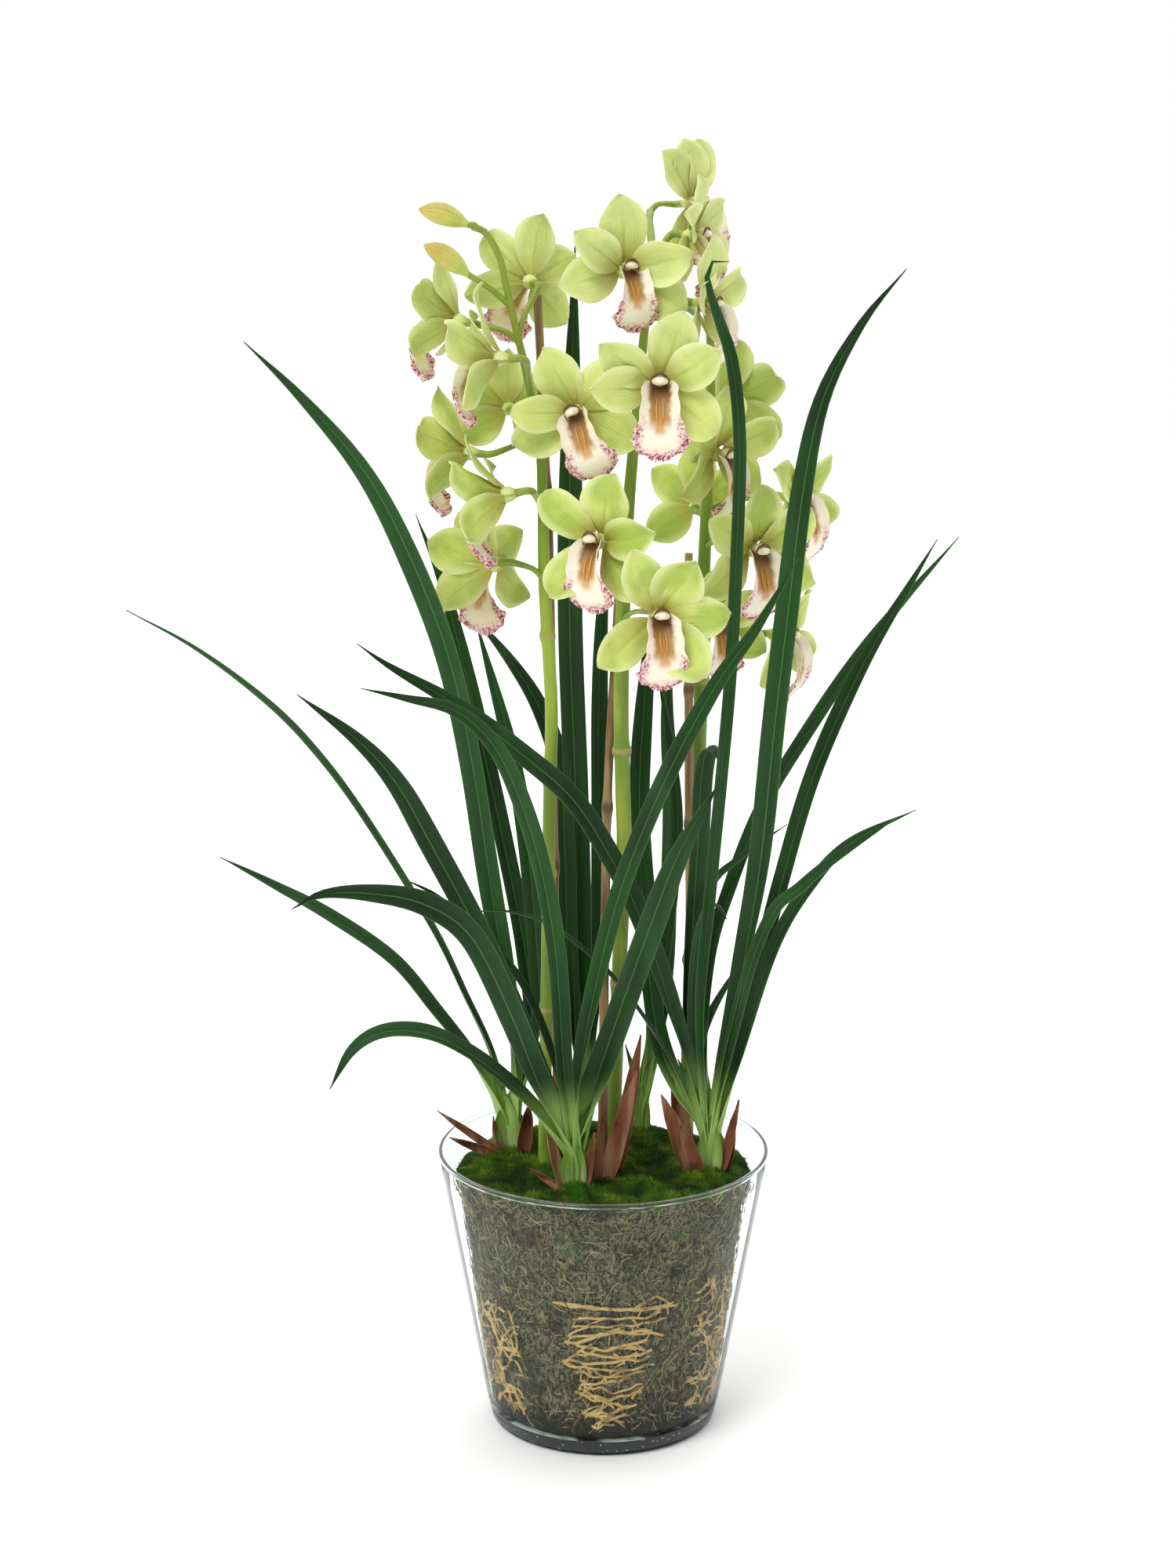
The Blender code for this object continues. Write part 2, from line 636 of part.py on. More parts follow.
def blade(width, base_azimuth, azimuth, elevation, route, fold=None):
    """Strap leaf, creased along its midrib and tapered to a point.

    A fold is the share of the length where the tip starts to bend over and the
    elevation its upper face has turned to at the end.
    """
    path = [Vector(point) for point in route]
    lengths = [0.0]
    for start, end in zip(path, path[1:]):
        lengths.append(lengths[-1] + (end - start).length)
    top = []
    bottom = []
    for length, point, way in zip(lengths, path, tangents(path)):
        share = length / lengths[-1]
        turn = ease(share / 0.45)
        lift = elevation
        if fold:
            lift = mix(elevation, fold[1], ease((share - fold[0]) / (1.0 - fold[0])))
        face = direction(mix(base_azimuth, azimuth, turn), lift)
        normal = (face - way * face.dot(way)).normalized()
        side = way.cross(normal)
        half = width / 2.0 * leaf_profile(share, fold[0] if fold else LEAF_TAPER_FROM)
        thick = LEAF_THICKNESS / 2.0
        if width < LEAF_NARROW:
            row = (point - side * half, point + side * half)
            top.append([place + normal * thick for place in row])
            bottom.append([place - normal * thick for place in row])
            continue
        crease = math.radians(mix(LEAF_FOLD_BASE, LEAF_FOLD_TIP, turn))
        out = half * math.cos(crease)
        rise = half * math.sin(crease)
        ridge = normal * thick * min(1.0 / math.cos(crease), 1.5)
        left = point - side * out + normal * rise
        right = point + side * out + normal * rise
        left_off = (normal * math.cos(crease) + side * math.sin(crease)) * thick
        right_off = (normal * math.cos(crease) - side * math.sin(crease)) * thick
        top.append([left + left_off, point + ridge, right + right_off])
        bottom.append([left - left_off, point - ridge, right - right_off])
    return sheet(top, bottom)


def leaf_profile(share, taper):
    """Share of the full width along a leaf that narrows from the taper on."""
    rising = mix(0.7, 1.0, ease(share / 0.3))
    falling = 1.0 - max(0.0, (share - taper) / (1.0 - taper)) ** 2.0
    return max(rising * falling, 0.07)


def bulb(foot, lean, azimuth, wide):
    """Pseudobulb wrapped in leaf bases, on a plain round foot in the filling."""
    x, y = foot
    path = [Vector((x, y, FOOT_DEPTH + GAP)), Vector((x, y, BULB_STRAIGHT_TO))]
    radii = [(BULB_FOOT_RADIUS, BULB_FOOT_RADIUS)] * 2
    for height, across, deep, shift in BULB_RINGS:
        path.append(Vector((x + lean[0] * shift, y + lean[1] * shift, height)))
        radii.append((BULB_FOOT_RADIUS * wide * across, BULB_FOOT_RADIUS * deep))
    return tube(path, radii, BULB_SIDES, direction(azimuth + 90.0))


def build_fans():
    green = material("leaf_green", (0.03, 0.12, 0.03), 0.35)
    left, front, right, back_left, back_right = FAN_FEET
    lefts = [bulb(left, (-3.0, 0.0), 0.0, 1.6)] + [blade(*leaf) for leaf in LEFT_LEAVES]
    joined_object("fan_left", lefts, green)
    fronts = [bulb(front, (-5.0, -4.0), 0.0, 1.9)] + [blade(*leaf) for leaf in FRONT_LEAVES]
    joined_object("fan_front", fronts, green)
    rights = [bulb(right, (-2.0, 0.0), 0.0, 2.0)] + [blade(*leaf) for leaf in RIGHT_LEAVES]
    joined_object("fan_right", rights, green)
    path = [Vector((*back_left, RHIZOME_HEIGHT)), Vector((*back_right, RHIZOME_HEIGHT))]
    rhizome = tube(path, [(RHIZOME_RADIUS, RHIZOME_RADIUS)] * 2, BULB_SIDES)
    back = [bulb(back_left, (0.0, 2.0), 0.0, 1.5), bulb(back_right, (2.0, 2.0), 0.0, 1.5), rhizome]
    joined_object("fan_back", back + [blade(*leaf) for leaf in BACK_LEAVES], green)


# Canes

CANE_SIDES = 6
CANES = (
    ("cane_a", ((-29.0, 20.0, 62.0), (-31.0, 20.0, 300.0), (-34.0, 21.0, 560.0), (-37.0, 22.0, 640.0),
                (-41.0, 20.0, 731.0))),
    ("cane_b", ((-1.0, -16.0, 62.0), (0.0, -12.0, 240.0), (1.0, 2.0, 340.0), (3.0, 15.0, 426.0),
                (8.0, 19.0, 520.0), (12.0, 20.0, 600.0))),
    ("cane_c", ((54.0, 40.0, 62.0), (57.0, 42.0, 260.0), (55.0, 43.0, 430.0), (54.0, 43.0, 566.0))),
)
CANE_NODES = (0.36, 0.56, 0.78)


def build_canes():
    tan = material("cane_tan", (0.36, 0.24, 0.11), 0.6)
    for name, route in CANES:
        straight = smooth_path(route, 41)
        foot = Vector((route[0][0], route[0][1], CANE_DEPTH + GAP))
        neck = Vector((route[0][0], route[0][1], NECK_HEIGHT))
        path = [foot, neck]
        radii = [(CANE_RADIUS, CANE_RADIUS)] * 2
        for share in CANE_NODES:
            point = straight[round(share * 40)]
            if point.z < neck.z + 15.0:
                continue
            path += [point - UP * 3.0, point, point + UP * 3.0]
            swell = CANE_RADIUS + CANE_NODE_RISE
            radii += [(CANE_RADIUS - 0.2,) * 2, (swell, swell), (CANE_RADIUS - 0.2,) * 2]
        path.append(straight[-1])
        radii.append((CANE_RADIUS - 0.6,) * 2)
        mesh_object(name, tube(path, radii, CANE_SIDES), tan)


# Flower spikes and blooms

STEM_SIDES = 6
STEM_STOPS = 13
STEM_NODE_SWELL = 1.24
STEM_SLIM_FROM = 480.0
STEM_SLIM_LENGTH = 280.0
STEM_TIP_SHARE = 0.52
SPIKES = (
    {
        "name": "spike_a",
        "radius": 4.1,
        "route": ((-38, 3, 141), (-38, 3, 200), (-36, 4, 302), (-35, 5, 377), (-34, 5, 426), (-33, 6, 476),
                  (-37, 6, 551), (-38, 6, 600), (-40, 6, 644), (-48, 4, 686), (-54, 2, 712),
                  (-60, 0, 740), (-64, -2, 757), (-72, -4, 771), (-80, -6, 775)),
        "nodes": (276, 366, 428, 520),
    },
    {
        "name": "spike_b",
        "radius": 4.8,
        "route": ((7, 18, 141), (7, 18, 200), (10, 16, 292), (13, 12, 377), (12, 9, 426), (11, 6, 476),
                  (12, 4, 536), (15, 2, 600), (20, 0, 660), (25, 2, 715), (29, 10, 748), (29, 28, 765),
                  (28, 46, 774), (29, 62, 779)),
        "nodes": (290, 372, 446, 506),
    },
    {
        "name": "spike_c",
        "radius": 4.6,
        "route": ((56, 62, 141), (56, 62, 200), (58, 62, 300), (61, 60, 390), (63, 58, 476), (64, 54, 550),
                  (66, 50, 615), (67, 46, 685), (65, 42, 720), (61, 38, 745)),
        "nodes": (292, 392, 480),
    },
)

# Buds at the top of the first spike: where the stalk leaves the spike's stem,
# where the bud starts and its tip.
BUDS = (
    ((-80, -6, 775), (-84, -7, 777), (-112, -12, 786)),
    ((-57, 1, 726), (-86, -10, 748), (-108, -16, 766)),
)
BUD_RADII = (1.6, 4.6, 6.8, 6.6, 4.2, 0.8)

# Each bloom: name, spike, size, hub, azimuth, elevation, roll of the lip, how
# far the tepals rise from flat, height where its stalk leaves the stem, and the
# angles of its five tepals seen from in front where they differ from the usual:
# upper sepal, right petal, left petal, right sepal, left sepal.
BLOOMS = (
    ("a1", 0, 0.92, (-46, 24, 739), -158, 8, 14, 20, 706, None),
    ("a2", 0, 0.95, (-90, 14, 716), -108, 8, 0, 30, 704, None),
    ("a3", 0, 1.0, (-64, -30, 698), -98, 2, 0, 28, 674, None),
    ("a4", 0, 0.95, (-84, 16, 634), -105, 0, 0, 30, 640, None),
    ("a5", 0, 1.0, (-60, -30, 615), -102, -10, 10, 28, 596, None),
    ("a6", 0, 1.0, (-68, 4, 566), -140, -12, 0, 28, 556, None),
    ("a7", 0, 0.85, (-60, 58, 656), -165, 0, 0, 16, 640, None),
    ("m1", 0, 1.0, (-16, -28, 665), -6, 2, 25, 20, 640, (115, 50, 178, -25, 211)),
    ("b1", 1, 1.0, (12, -22, 750), 4, 4, 0, 27, 728, (92, 15, 145, -36, 194)),
    ("b2", 1, 1.0, (33, -48, 684), 0, 4, 0, 23, 664, (72, 30, 148, -42, 184)),
    ("b3", 1, 1.0, (-2, -50, 590), -22, 2, 6, 20, 578, (75, 10, 142, -44, 230)),
    ("b4", 1, 1.0, (32, -70, 547), 4, 0, 0, 21, 530, (64, 2, 112, -52, 214)),
    ("c1", 1, 0.9, (54, 64, 784), 42, 6, 4, 6, 779, (100, 74, 126, -66, 246)),
    ("c2", 1, 0.85, (53, 12, 768), 62, 0, 0, 16, 748, None),
    ("c3", 2, 0.9, (59, -14, 729), 62, -4, 0, 16, 706, None),
    ("c4", 2, 0.95, (77, 58, 659), 140, 6, 0, 18, 645, None),
    ("c5", 2, 0.95, (69, 10, 634), 40, -6, 0, 14, 615, None),
    ("c6", 2, 0.95, (119, 55, 600), 60, 0, 0, 16, 590, None),
    ("c7", 2, 0.95, (92, -6, 577), 30, -4, 0, 14, 570, None),
    ("c8", 2, 0.95, (110, 34, 515), 68, -6, 0, 18, 530, None),
    ("c9", 2, 0.8, (71, 12, 529), 0, -6, 0, 14, 520, None),
    ("k1", 2, 0.9, (60, 84, 590), 170, 4, 0, 16, 585, None),
)
# Blooms whose lip is hidden behind the tepals have none.
LIPLESS_BLOOMS = ("a7", "k1")


def bloom_frame(size, hub, azimuth, elevation, roll):
    """Matrix from the flower's own frame to the part's frame."""
    facing = direction(azimuth, elevation)
    upright = (UP - facing * UP.dot(facing)).normalized()
    across = upright.cross(facing)
    turn = math.radians(roll)
    upper = upright * math.cos(turn) - across * math.sin(turn)
    side = across * math.cos(turn) + upright * math.sin(turn)
    axes = Matrix((side, upper, facing)).transposed()
    return Matrix.Translation(Vector(hub)) @ axes.to_4x4() @ Matrix.Scale(size, 4)


def moved(solid, frame):
    verts, faces = solid
    return [frame @ point for point in verts], faces


def tepal(angle, rise, length, width, seat, cup):
    """Grids of points of one broad tepal: its face and its back."""
    radial = Vector((math.cos(math.radians(angle)), math.sin(math.radians(angle)), 0.0))
    across = Vector((radial.y, -radial.x, 0.0))
    point = radial * HUB_RADIUS + Vector((0.0, 0.0, seat))
    before = 0.0
    top = []
    bottom = []
    for share, wide in TEPAL_OUTLINE:
        slope = math.radians(rise + TEPAL_CURL * (0.5 - (share + before) / 2.0))
        along = radial * math.cos(slope) + Vector((0.0, 0.0, math.sin(slope)))
        point = point + along * length * (share - before)
        before = share
        normal = Vector((0.0, 0.0, math.cos(slope))) - radial * math.sin(slope)
        half = width / 2.0 * wide
        off = normal * TEPAL_THICKNESS / 2.0
        if half == 0.0:
            top.append([point + off])
            bottom.append([point - off])
            continue
        lift = normal * half * cup
        row = [point - across * half + lift, point.copy(), point + across * half + lift]
        top.append([place + off for place in row])
        bottom.append([place - off for place in row])
    return top, bottom


def tepal_shell(spread, rise):
    """Five tepals on one hub as a single closed shell, in the flower's frame."""
    faces = []
    roots = []
    for number, angle in sorted(enumerate(spread), key=lambda item: item[1] % 360.0):
        if number in (1, 2):
            top, bottom = tepal(angle, rise, PETAL_LENGTH, PETAL_WIDTH, PETAL_SEAT, PETAL_CUP)
        else:
            top, bottom = tepal(angle, rise, SEPAL_LENGTH, SEPAL_WIDTH, SEPAL_SEAT, SEPAL_CUP)
        verts, leaf = sheet(top, bottom, rooted=True)
        faces += [tuple(verts[index] for index in face) for face in leaf]
        turn = math.radians(angle)
        back = Vector((HUB_BACK_RADIUS * math.cos(turn), HUB_BACK_RADIUS * math.sin(turn), HUB_BACK))
        roots.append((top[0][::-1], bottom[0][::-1], back))
    centre = Vector((0.0, 0.0, HUB_FRONT))
    count = len(roots)
    for number, (upper, lower, back) in enumerate(roots):
        next_upper, next_lower, next_back = roots[(number + 1) % count]
        faces += [(centre, upper[0], upper[1]), (centre, upper[1], upper[2])]
        faces.append((centre, upper[2], next_upper[0]))
        faces += [(lower[2], next_lower[0], next_upper[0]), (lower[2], next_upper[0], upper[2])]
        faces += [(back, lower[1], lower[0]), (back, lower[2], lower[1])]
        faces += [(back, next_lower[0], lower[2]), (back, next_back, next_lower[0])]
    for number in range(1, count - 1):
        faces.append((roots[0][2], roots[number + 1][2], roots[number][2]))
    return weld(faces)


def weld(faces):
    """Vertices and index faces from faces given as points."""
    verts = []
    place = {}
    indexed = []
    for face in faces:
        row = []
        for point in face:
            key = tuple(round(value, 4) for value in point)
            if key not in place:
                place[key] = len(verts)
                verts.append(point)
            row.append(place[key])
        indexed.append(tuple(row))
    return verts, indexed


def lip_solids(tilt):
    """Column and three-lobed lip, swung forward by tilt degrees."""
    swing = Matrix.Rotation(math.radians(-tilt), 4, "X")
    top = []
    bottom = []
    rows = [(Vector((0.0, y, z)), half, rise) for y, z, half, rise in LIP_ROWS]
    ways = tangents([row[0] for row in rows])
    for number, ((middle, half, rise), way) in enumerate(zip(rows, ways)):
        normal = Vector((0.0, way.z, -way.y))
        frill = LIP_FRILL if number >= 3 else 0.0
        upper = []
        lower = []
        for column, (across, share) in enumerate(LIP_COLUMNS):
            ripple = frill * (1.0 if (column + number) % 2 else -1.0)
            place = middle + Vector((half * across, 0.0, 0.0)) + normal * (rise * share + ripple)
            upper.append(place + normal * LIP_THICKNESS / 2.0)
            lower.append(place - normal * LIP_THICKNESS / 2.0)
        top.append(upper)
        bottom.append(lower)
    path = [Vector((0.0, y, z)) for y, z, _, _ in COLUMN_RINGS]
    radii = [(across, deep) for _, _, across, deep in COLUMN_RINGS]
    solids = [tube(path, radii, COLUMN_SIDES), sheet(bottom, top)]
    return [moved(solid, swing) for solid in solids]


def stem_point(route, height):
    """Point of a spike's stem at a height."""
    path = smooth_path(route, 81)
    return min(path, key=lambda point: abs(point.z - height))


def pedicel(route, height, frame):
    """Stalk from the stem to the back of a bloom."""
    start = stem_point(route, height)
    back = frame @ Vector((0.0, 0.0, HUB_BACK - PEDICEL_OVERLAP))
    behind = frame @ Vector((0.0, 0.0, HUB_BACK - PEDICEL_REACH))
    away = (behind - start) * PEDICEL_LEAVE + UP * PEDICEL_RISE
    path = smooth_path((start, start + away, behind), PEDICEL_STEPS) + [back]
    radii = []
    for step in range(PEDICEL_STEPS + 1):
        radius = mix(PEDICEL_RADIUS, HUB_BACK_RADIUS, step / PEDICEL_STEPS)
        radii.append((radius, radius))
    return tube(path, radii, 5, Vector((0.9, 0.3, 0.3)))


def stem_solid(spike):
    """Stem of a spike with a low collar at each node."""
    radius = spike["radius"]
    route = spike["route"]
    path = smooth_path(route, STEM_STOPS)
    stops = [(point, 1.0) for point in path]
    for height in spike["nodes"]:
        middle = stem_point(route, height)
        stops = [stop for stop in stops if abs(stop[0].z - height) > 9.0]
        stops += [(middle - UP * 4.0, 1.0), (middle, STEM_NODE_SWELL), (middle + UP * 3.0, 1.0)]
    stops.sort(key=lambda stop: stop[0].z)
    foot = Vector((route[0][0], route[0][1], STEM_DEPTH + GAP))
    neck = Vector((route[0][0], route[0][1], NECK_HEIGHT))
    stops = [(foot, 1.0), (neck, 1.0)] + [stop for stop in stops if stop[0].z > neck.z + 12.0]
    radii = []
    for point, swell in stops:
        slim = mix(1.0, STEM_TIP_SHARE, ease((point.z - STEM_SLIM_FROM) / STEM_SLIM_LENGTH))
        radii.append((radius * slim * swell, radius * slim * swell))
    return tube([point for point, _ in stops], radii, STEM_SIDES)


def build_spikes():
    green = material("stem_green", (0.32, 0.40, 0.08), 0.45)
    for number, spike in enumerate(SPIKES):
        solids = [stem_solid(spike)]
        for _, owner, size, hub, azimuth, elevation, _, _, height, _ in BLOOMS:
            if owner == number:
                frame = bloom_frame(size, hub, azimuth, elevation, 0.0)
                solids.append(pedicel(spike["route"], height, frame))
        if number == 0:
            for stalk, start, tip in BUDS:
                path = smooth_path((stalk, start, tip), len(BUD_RADII) + 2)
                radii = [(1.7, 1.7)] * 2 + [(radius, radius) for radius in BUD_RADII]
                solids.append(tube(path, radii, 7, UP))
        joined_object(spike["name"], solids, green)


def build_blooms():
    green = material("tepal_green", (0.52, 0.62, 0.17), 0.5)
    cream = material("lip_cream", (0.85, 0.74, 0.66), 0.5)
    for name, _, size, hub, azimuth, elevation, roll, rise, _, spread in BLOOMS:
        flat = bloom_frame(size, hub, azimuth, elevation, 0.0 if spread else roll)
        turned = bloom_frame(size, hub, azimuth, elevation, roll)
        tepals = moved(tepal_shell(spread or TEPAL_SPREAD, rise), flat)
        mesh_object(f"bloom_{name}_tepals", tepals, green)
        if name in LIPLESS_BLOOMS:
            continue
        lip = [moved(solid, turned) for solid in lip_solids(max(0.0, rise - 12.0) * 0.7)]
        joined_object(f"bloom_{name}_lip", lip, cream)


# Dry sheaths

COLLAR_SIDES = 8
COLLAR_HEIGHT = MOSS_TOP + 3.0
COLLAR_PROFILE = ((0.0, 0.0), (1.6, 0.0), (1.8, 5.5), (0.2, 6.5))
BRACT_SHARES = (0.8, 1.0, 0.8, 0.0)

# Each collar: name, foot, radius and the tips of its bracts with their width.
SHEATHS = (
    ("sheath_left", (-62.5, 35.0), 7.6, (((-98, 16, 194), 8.0), ((-94, 6, 178), 6.0))),
    ("sheath_front", (-18.5, -32.0), 7.6, (((-47, -42, 180), 9.0), ((-34, -18, 208), 10.0))),
    ("sheath_middle", (-1.0, -16.0), 4.0, (((18, -20, 232), 18.0), ((10, -6, 216), 12.0))),
    ("sheath_right", (69.0, -3.0), 7.6, (((42, -12, 212), 16.0), ((36, 4, 202), 14.0),
                                         ((87, -10, 214), 10.0))),
)


def bract(foot, radius, tip, width):
    """Dry pointed bract from a collar out to its tip."""
    tip = Vector(tip)
    start = Vector((foot[0], foot[1], COLLAR_HEIGHT + 1.0))
    flat = Vector((tip.x - start.x, tip.y - start.y, 0.0)).normalized()
    start += flat * (radius + 0.5)
    middle = start.lerp(tip, 0.45) + UP * 3.0 + flat * 1.5
    path = smooth_path((start, middle, tip), len(BRACT_SHARES))
    top = []
    bottom = []
    for share, point, way in zip(BRACT_SHARES, path, tangents(path)):
        side = way.cross(-flat).normalized() if abs(way.dot(flat)) < 0.9 else way.cross(UP).normalized()
        normal = side.cross(way).normalized()
        off = normal * LEAF_THICKNESS / 2.0
        half = width / 2.0 * share
        if half == 0.0:
            top.append([point + off])
            bottom.append([point - off])
            continue
        row = [point - side * half + normal * half * 0.4, point, point + side * half + normal * half * 0.4]
        top.append([place + off for place in row])
        bottom.append([place - off for place in row])
    return sheet(top, bottom)


def collar(foot, radius):
    """Ring of old sheath bases round a foot."""
    rows = len(COLLAR_PROFILE)
    verts = []
    for k in range(COLLAR_SIDES):
        turn = math.tau * k / COLLAR_SIDES
        for out, height in COLLAR_PROFILE:
            x = foot[0] + (radius + out) * math.cos(turn)
            y = foot[1] + (radius + out) * math.sin(turn)
            verts.append(Vector((x, y, COLLAR_HEIGHT + height)))
    faces = []
    for k in range(COLLAR_SIDES):
        following = (k + 1) % COLLAR_SIDES
        for row in range(rows):
            other = (row + 1) % rows
            a = k * rows + row
            b = following * rows + row
            c = following * rows + other
            d = k * rows + other
            faces += [(a, b, c), (a, c, d)]
    return verts, faces


def build_sheaths():
    brown = material("sheath_brown", (0.26, 0.10, 0.05), 0.7)
    for name, foot, radius, bracts in SHEATHS:
        solids = [collar(foot, radius)]
        solids += [bract(foot, radius, tip, width) for tip, width in bracts]
        joined_object(name, solids, brown)


def clear_scene():
    for item in list(bpy.data.objects):
        bpy.data.objects.remove(item, do_unlink=True)


def main():
    clear_scene()
    build_vase()
    build_soil()
    build_moss()
    build_roots()
    build_fans()
    build_canes()
    build_spikes()
    build_blooms()
    build_sheaths()


main()
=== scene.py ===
"""Looks of a cymbidium planting in a clear conical glass vase.

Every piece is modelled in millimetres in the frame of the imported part: the
origin is the middle of the vase's base, +Z is up and -Y is the front. MM turns
millimetres into Blender's metres where a mesh is made.

Directions are given as an azimuth and an elevation in degrees: azimuth 0 looks
to the front, 90 to the right (+X), 180 to the back and -90 to the left.
"""

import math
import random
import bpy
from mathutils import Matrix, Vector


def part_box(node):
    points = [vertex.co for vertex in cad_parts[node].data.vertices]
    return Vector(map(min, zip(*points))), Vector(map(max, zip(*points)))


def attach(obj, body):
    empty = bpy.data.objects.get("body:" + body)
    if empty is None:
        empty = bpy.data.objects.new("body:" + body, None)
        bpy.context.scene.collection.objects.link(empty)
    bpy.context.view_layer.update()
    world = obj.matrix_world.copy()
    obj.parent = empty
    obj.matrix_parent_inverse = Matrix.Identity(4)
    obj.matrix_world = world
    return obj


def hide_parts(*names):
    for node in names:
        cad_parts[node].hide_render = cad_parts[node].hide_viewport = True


bl_info = {
    "name": "Cymbidium in a glass vase",
    "version": (1, 0, 0),
    "blender": (4, 5, 0),
    "location": "View3D > Sidebar > Cymbidium",
    "description": "Builds the blooms, leaves, stems, moss, roots and glass of a cymbidium planting",
    "category": "Add Mesh",
}

import bpy
import numpy as np
from bpy.props import FloatProperty, FloatVectorProperty, IntProperty, PointerProperty
from mathutils import Matrix, Vector
from mathutils import noise as mathutils_noise

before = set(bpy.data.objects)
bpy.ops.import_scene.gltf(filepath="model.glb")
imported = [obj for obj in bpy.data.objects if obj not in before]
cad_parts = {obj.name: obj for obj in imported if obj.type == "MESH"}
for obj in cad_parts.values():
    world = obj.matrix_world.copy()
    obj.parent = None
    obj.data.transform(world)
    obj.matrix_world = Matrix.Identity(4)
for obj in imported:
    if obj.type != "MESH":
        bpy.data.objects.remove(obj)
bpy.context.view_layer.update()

MM = 0.001
UP = Vector((0.0, 0.0, 1.0))


def colour(red, green, blue):
    """Linear colour from the 0 to 255 values that a screen shows."""
    linear = []
    for value in (red, green, blue):
        value /= 255.0
        linear.append(value / 12.92 if value <= 0.04045 else ((value + 0.055) / 1.055) ** 2.4)
    return (*linear, 1.0)


def colour_property(name, description, red, green, blue):
    return FloatVectorProperty(name=name, description=description, subtype="COLOR", size=4, min=0.0, max=1.0,
                               default=colour(red, green, blue))


def count_property(name, description, count, least=0):
    return IntProperty(name=name, description=description, default=count, min=least)


def length_property(name, description, millimetres):
    return FloatProperty(name=name, description=description, unit="LENGTH", subtype="DISTANCE", min=0.0,
                         default=millimetres * MM)


# Sizes and colours that a user would change


class VaseSettings(bpy.types.PropertyGroup):
    base_radius: length_property("Base radius", "Radius of the glass where it stands", 73.8)
    rim_radius: length_property("Rim radius", "Outer radius of the glass at its rim", 107.0)
    wall: length_property("Wall", "Thickness of the glass wall", 3.0)
    floor: length_property("Floor", "Thickness of the glass floor", 12.5)
    sides: count_property("Sides", "Points round the glass", 120, 24)
    tint: colour_property("Tint", "Colour of the glass", 246, 251, 249)


class FillingSettings(bpy.types.PropertyGroup):
    bark: colour_property("Bark", "Colour of the bark in the filling", 42, 38, 28)
    grit: colour_property("Grit", "Grey-green colour of the lighter bits", 124, 120, 92)
    root: colour_property("Root", "Colour of the fibrous roots", 208, 168, 98)
    strand: length_property("Strand", "Radius of a root strand", 0.95)
    fibres: count_property("Fibres", "Loose fibres on the side of the filling", 5200)
    tufts: count_property("Tufts", "Moss tufts on the filling", 17000)
    tuft_length: length_property("Tuft length", "Length of the longest moss tuft", 5.0)
    # Deep moss: the painted shade deep in the moss and in its creases.
    moss_shade: colour_property("Deep moss", "Colour deep in the moss", 8, 22, 3)
    moss_tip: colour_property("Moss tips", "Colour of the moss tips", 132, 172, 40)


class LeafSettings(bpy.types.PropertyGroup):
    thickness: length_property("Thickness", "Thickness of a blade at its midrib", 0.8)
    rows: count_property("Rows", "Steps along a blade", 60, 12)
    green: colour_property("Green", "Colour of the blades", 24, 68, 20)
    shade: colour_property("Shade", "Darkest green of the blades", 9, 36, 10)
    # The sheen is a painted grey-green highlight on the blades.
    sheen: colour_property("Sheen", "Grey-green bloom on the blades", 54, 98, 50)
    base: colour_property("Base", "Pale green of the leaf bases", 172, 210, 112)
    sheath: colour_property("Sheath", "Red-brown of the dry sheaths", 146, 88, 56)
    paper: colour_property("Paper", "Pale fibres of the dry sheaths", 204, 158, 122)


class StemSettings(bpy.types.PropertyGroup):
    green: colour_property("Green", "Colour of the flower stems", 112, 142, 34)
    lit: colour_property("Lit", "Yellow-green patches of the stems", 156, 176, 54)
    scar: colour_property("Scar", "Tan rings at the joints", 176, 150, 96)
    cane: colour_property("Cane", "Colour of the dry canes", 150, 118, 72)
    cane_dark: colour_property("Dark cane", "Dark streaks of the canes", 84, 56, 36)


class BloomSettings(bpy.types.PropertyGroup):
    rows: count_property("Rows", "Steps along a tepal", 20, 8)
    thickness: length_property("Thickness", "Thickness of a tepal", 0.8)
    green: colour_property("Green", "Colour of the tepals", 204, 219, 112)
    pale: colour_property("Pale", "Pale rim and lit ribs of the tepals", 236, 243, 180)
    olive: colour_property("Olive", "Shaded green of the tepals", 166, 188, 72)
    blush: colour_property("Blush", "Tint at the foot of the tepals", 184, 176, 78)
    cream: colour_property("Cream", "Colour of the lip", 250, 240, 218)
    spot: colour_property("Spot", "Spots on the lip's margin", 150, 40, 84)
    throat: colour_property("Throat", "Colour in the lip's throat", 178, 134, 62)
    callus: colour_property("Callus", "Colour of the ridges in the throat", 206, 148, 70)


class StageSettings(bpy.types.PropertyGroup):
    floor_size: length_property("Floor", "Length of the floor's sides", 9000.0)
    floor_colour: colour_property("Floor colour", "Colour of the pale floor", 250, 250, 249)


class PlantingSettings(bpy.types.PropertyGroup):
    vase: PointerProperty(type=VaseSettings)
    filling: PointerProperty(type=FillingSettings)
    leaf: PointerProperty(type=LeafSettings)
    stem: PointerProperty(type=StemSettings)
    bloom: PointerProperty(type=BloomSettings)
    stage: PointerProperty(type=StageSettings)


# Curves


def direction(azimuth, elevation=0.0):
    """Unit vector that looks along an azimuth and an elevation in degrees."""
    turn = math.radians(azimuth)
    lift = math.radians(elevation)
    return Vector((math.sin(turn) * math.cos(lift), -math.cos(turn) * math.cos(lift), math.sin(lift)))


def mix(start, end, share):
    return start + (end - start) * share


def ease(value):
    """Smooth step from 0 to 1, held outside that range."""
    value = min(max(value, 0.0), 1.0)
    return value * value * (3.0 - 2.0 * value)


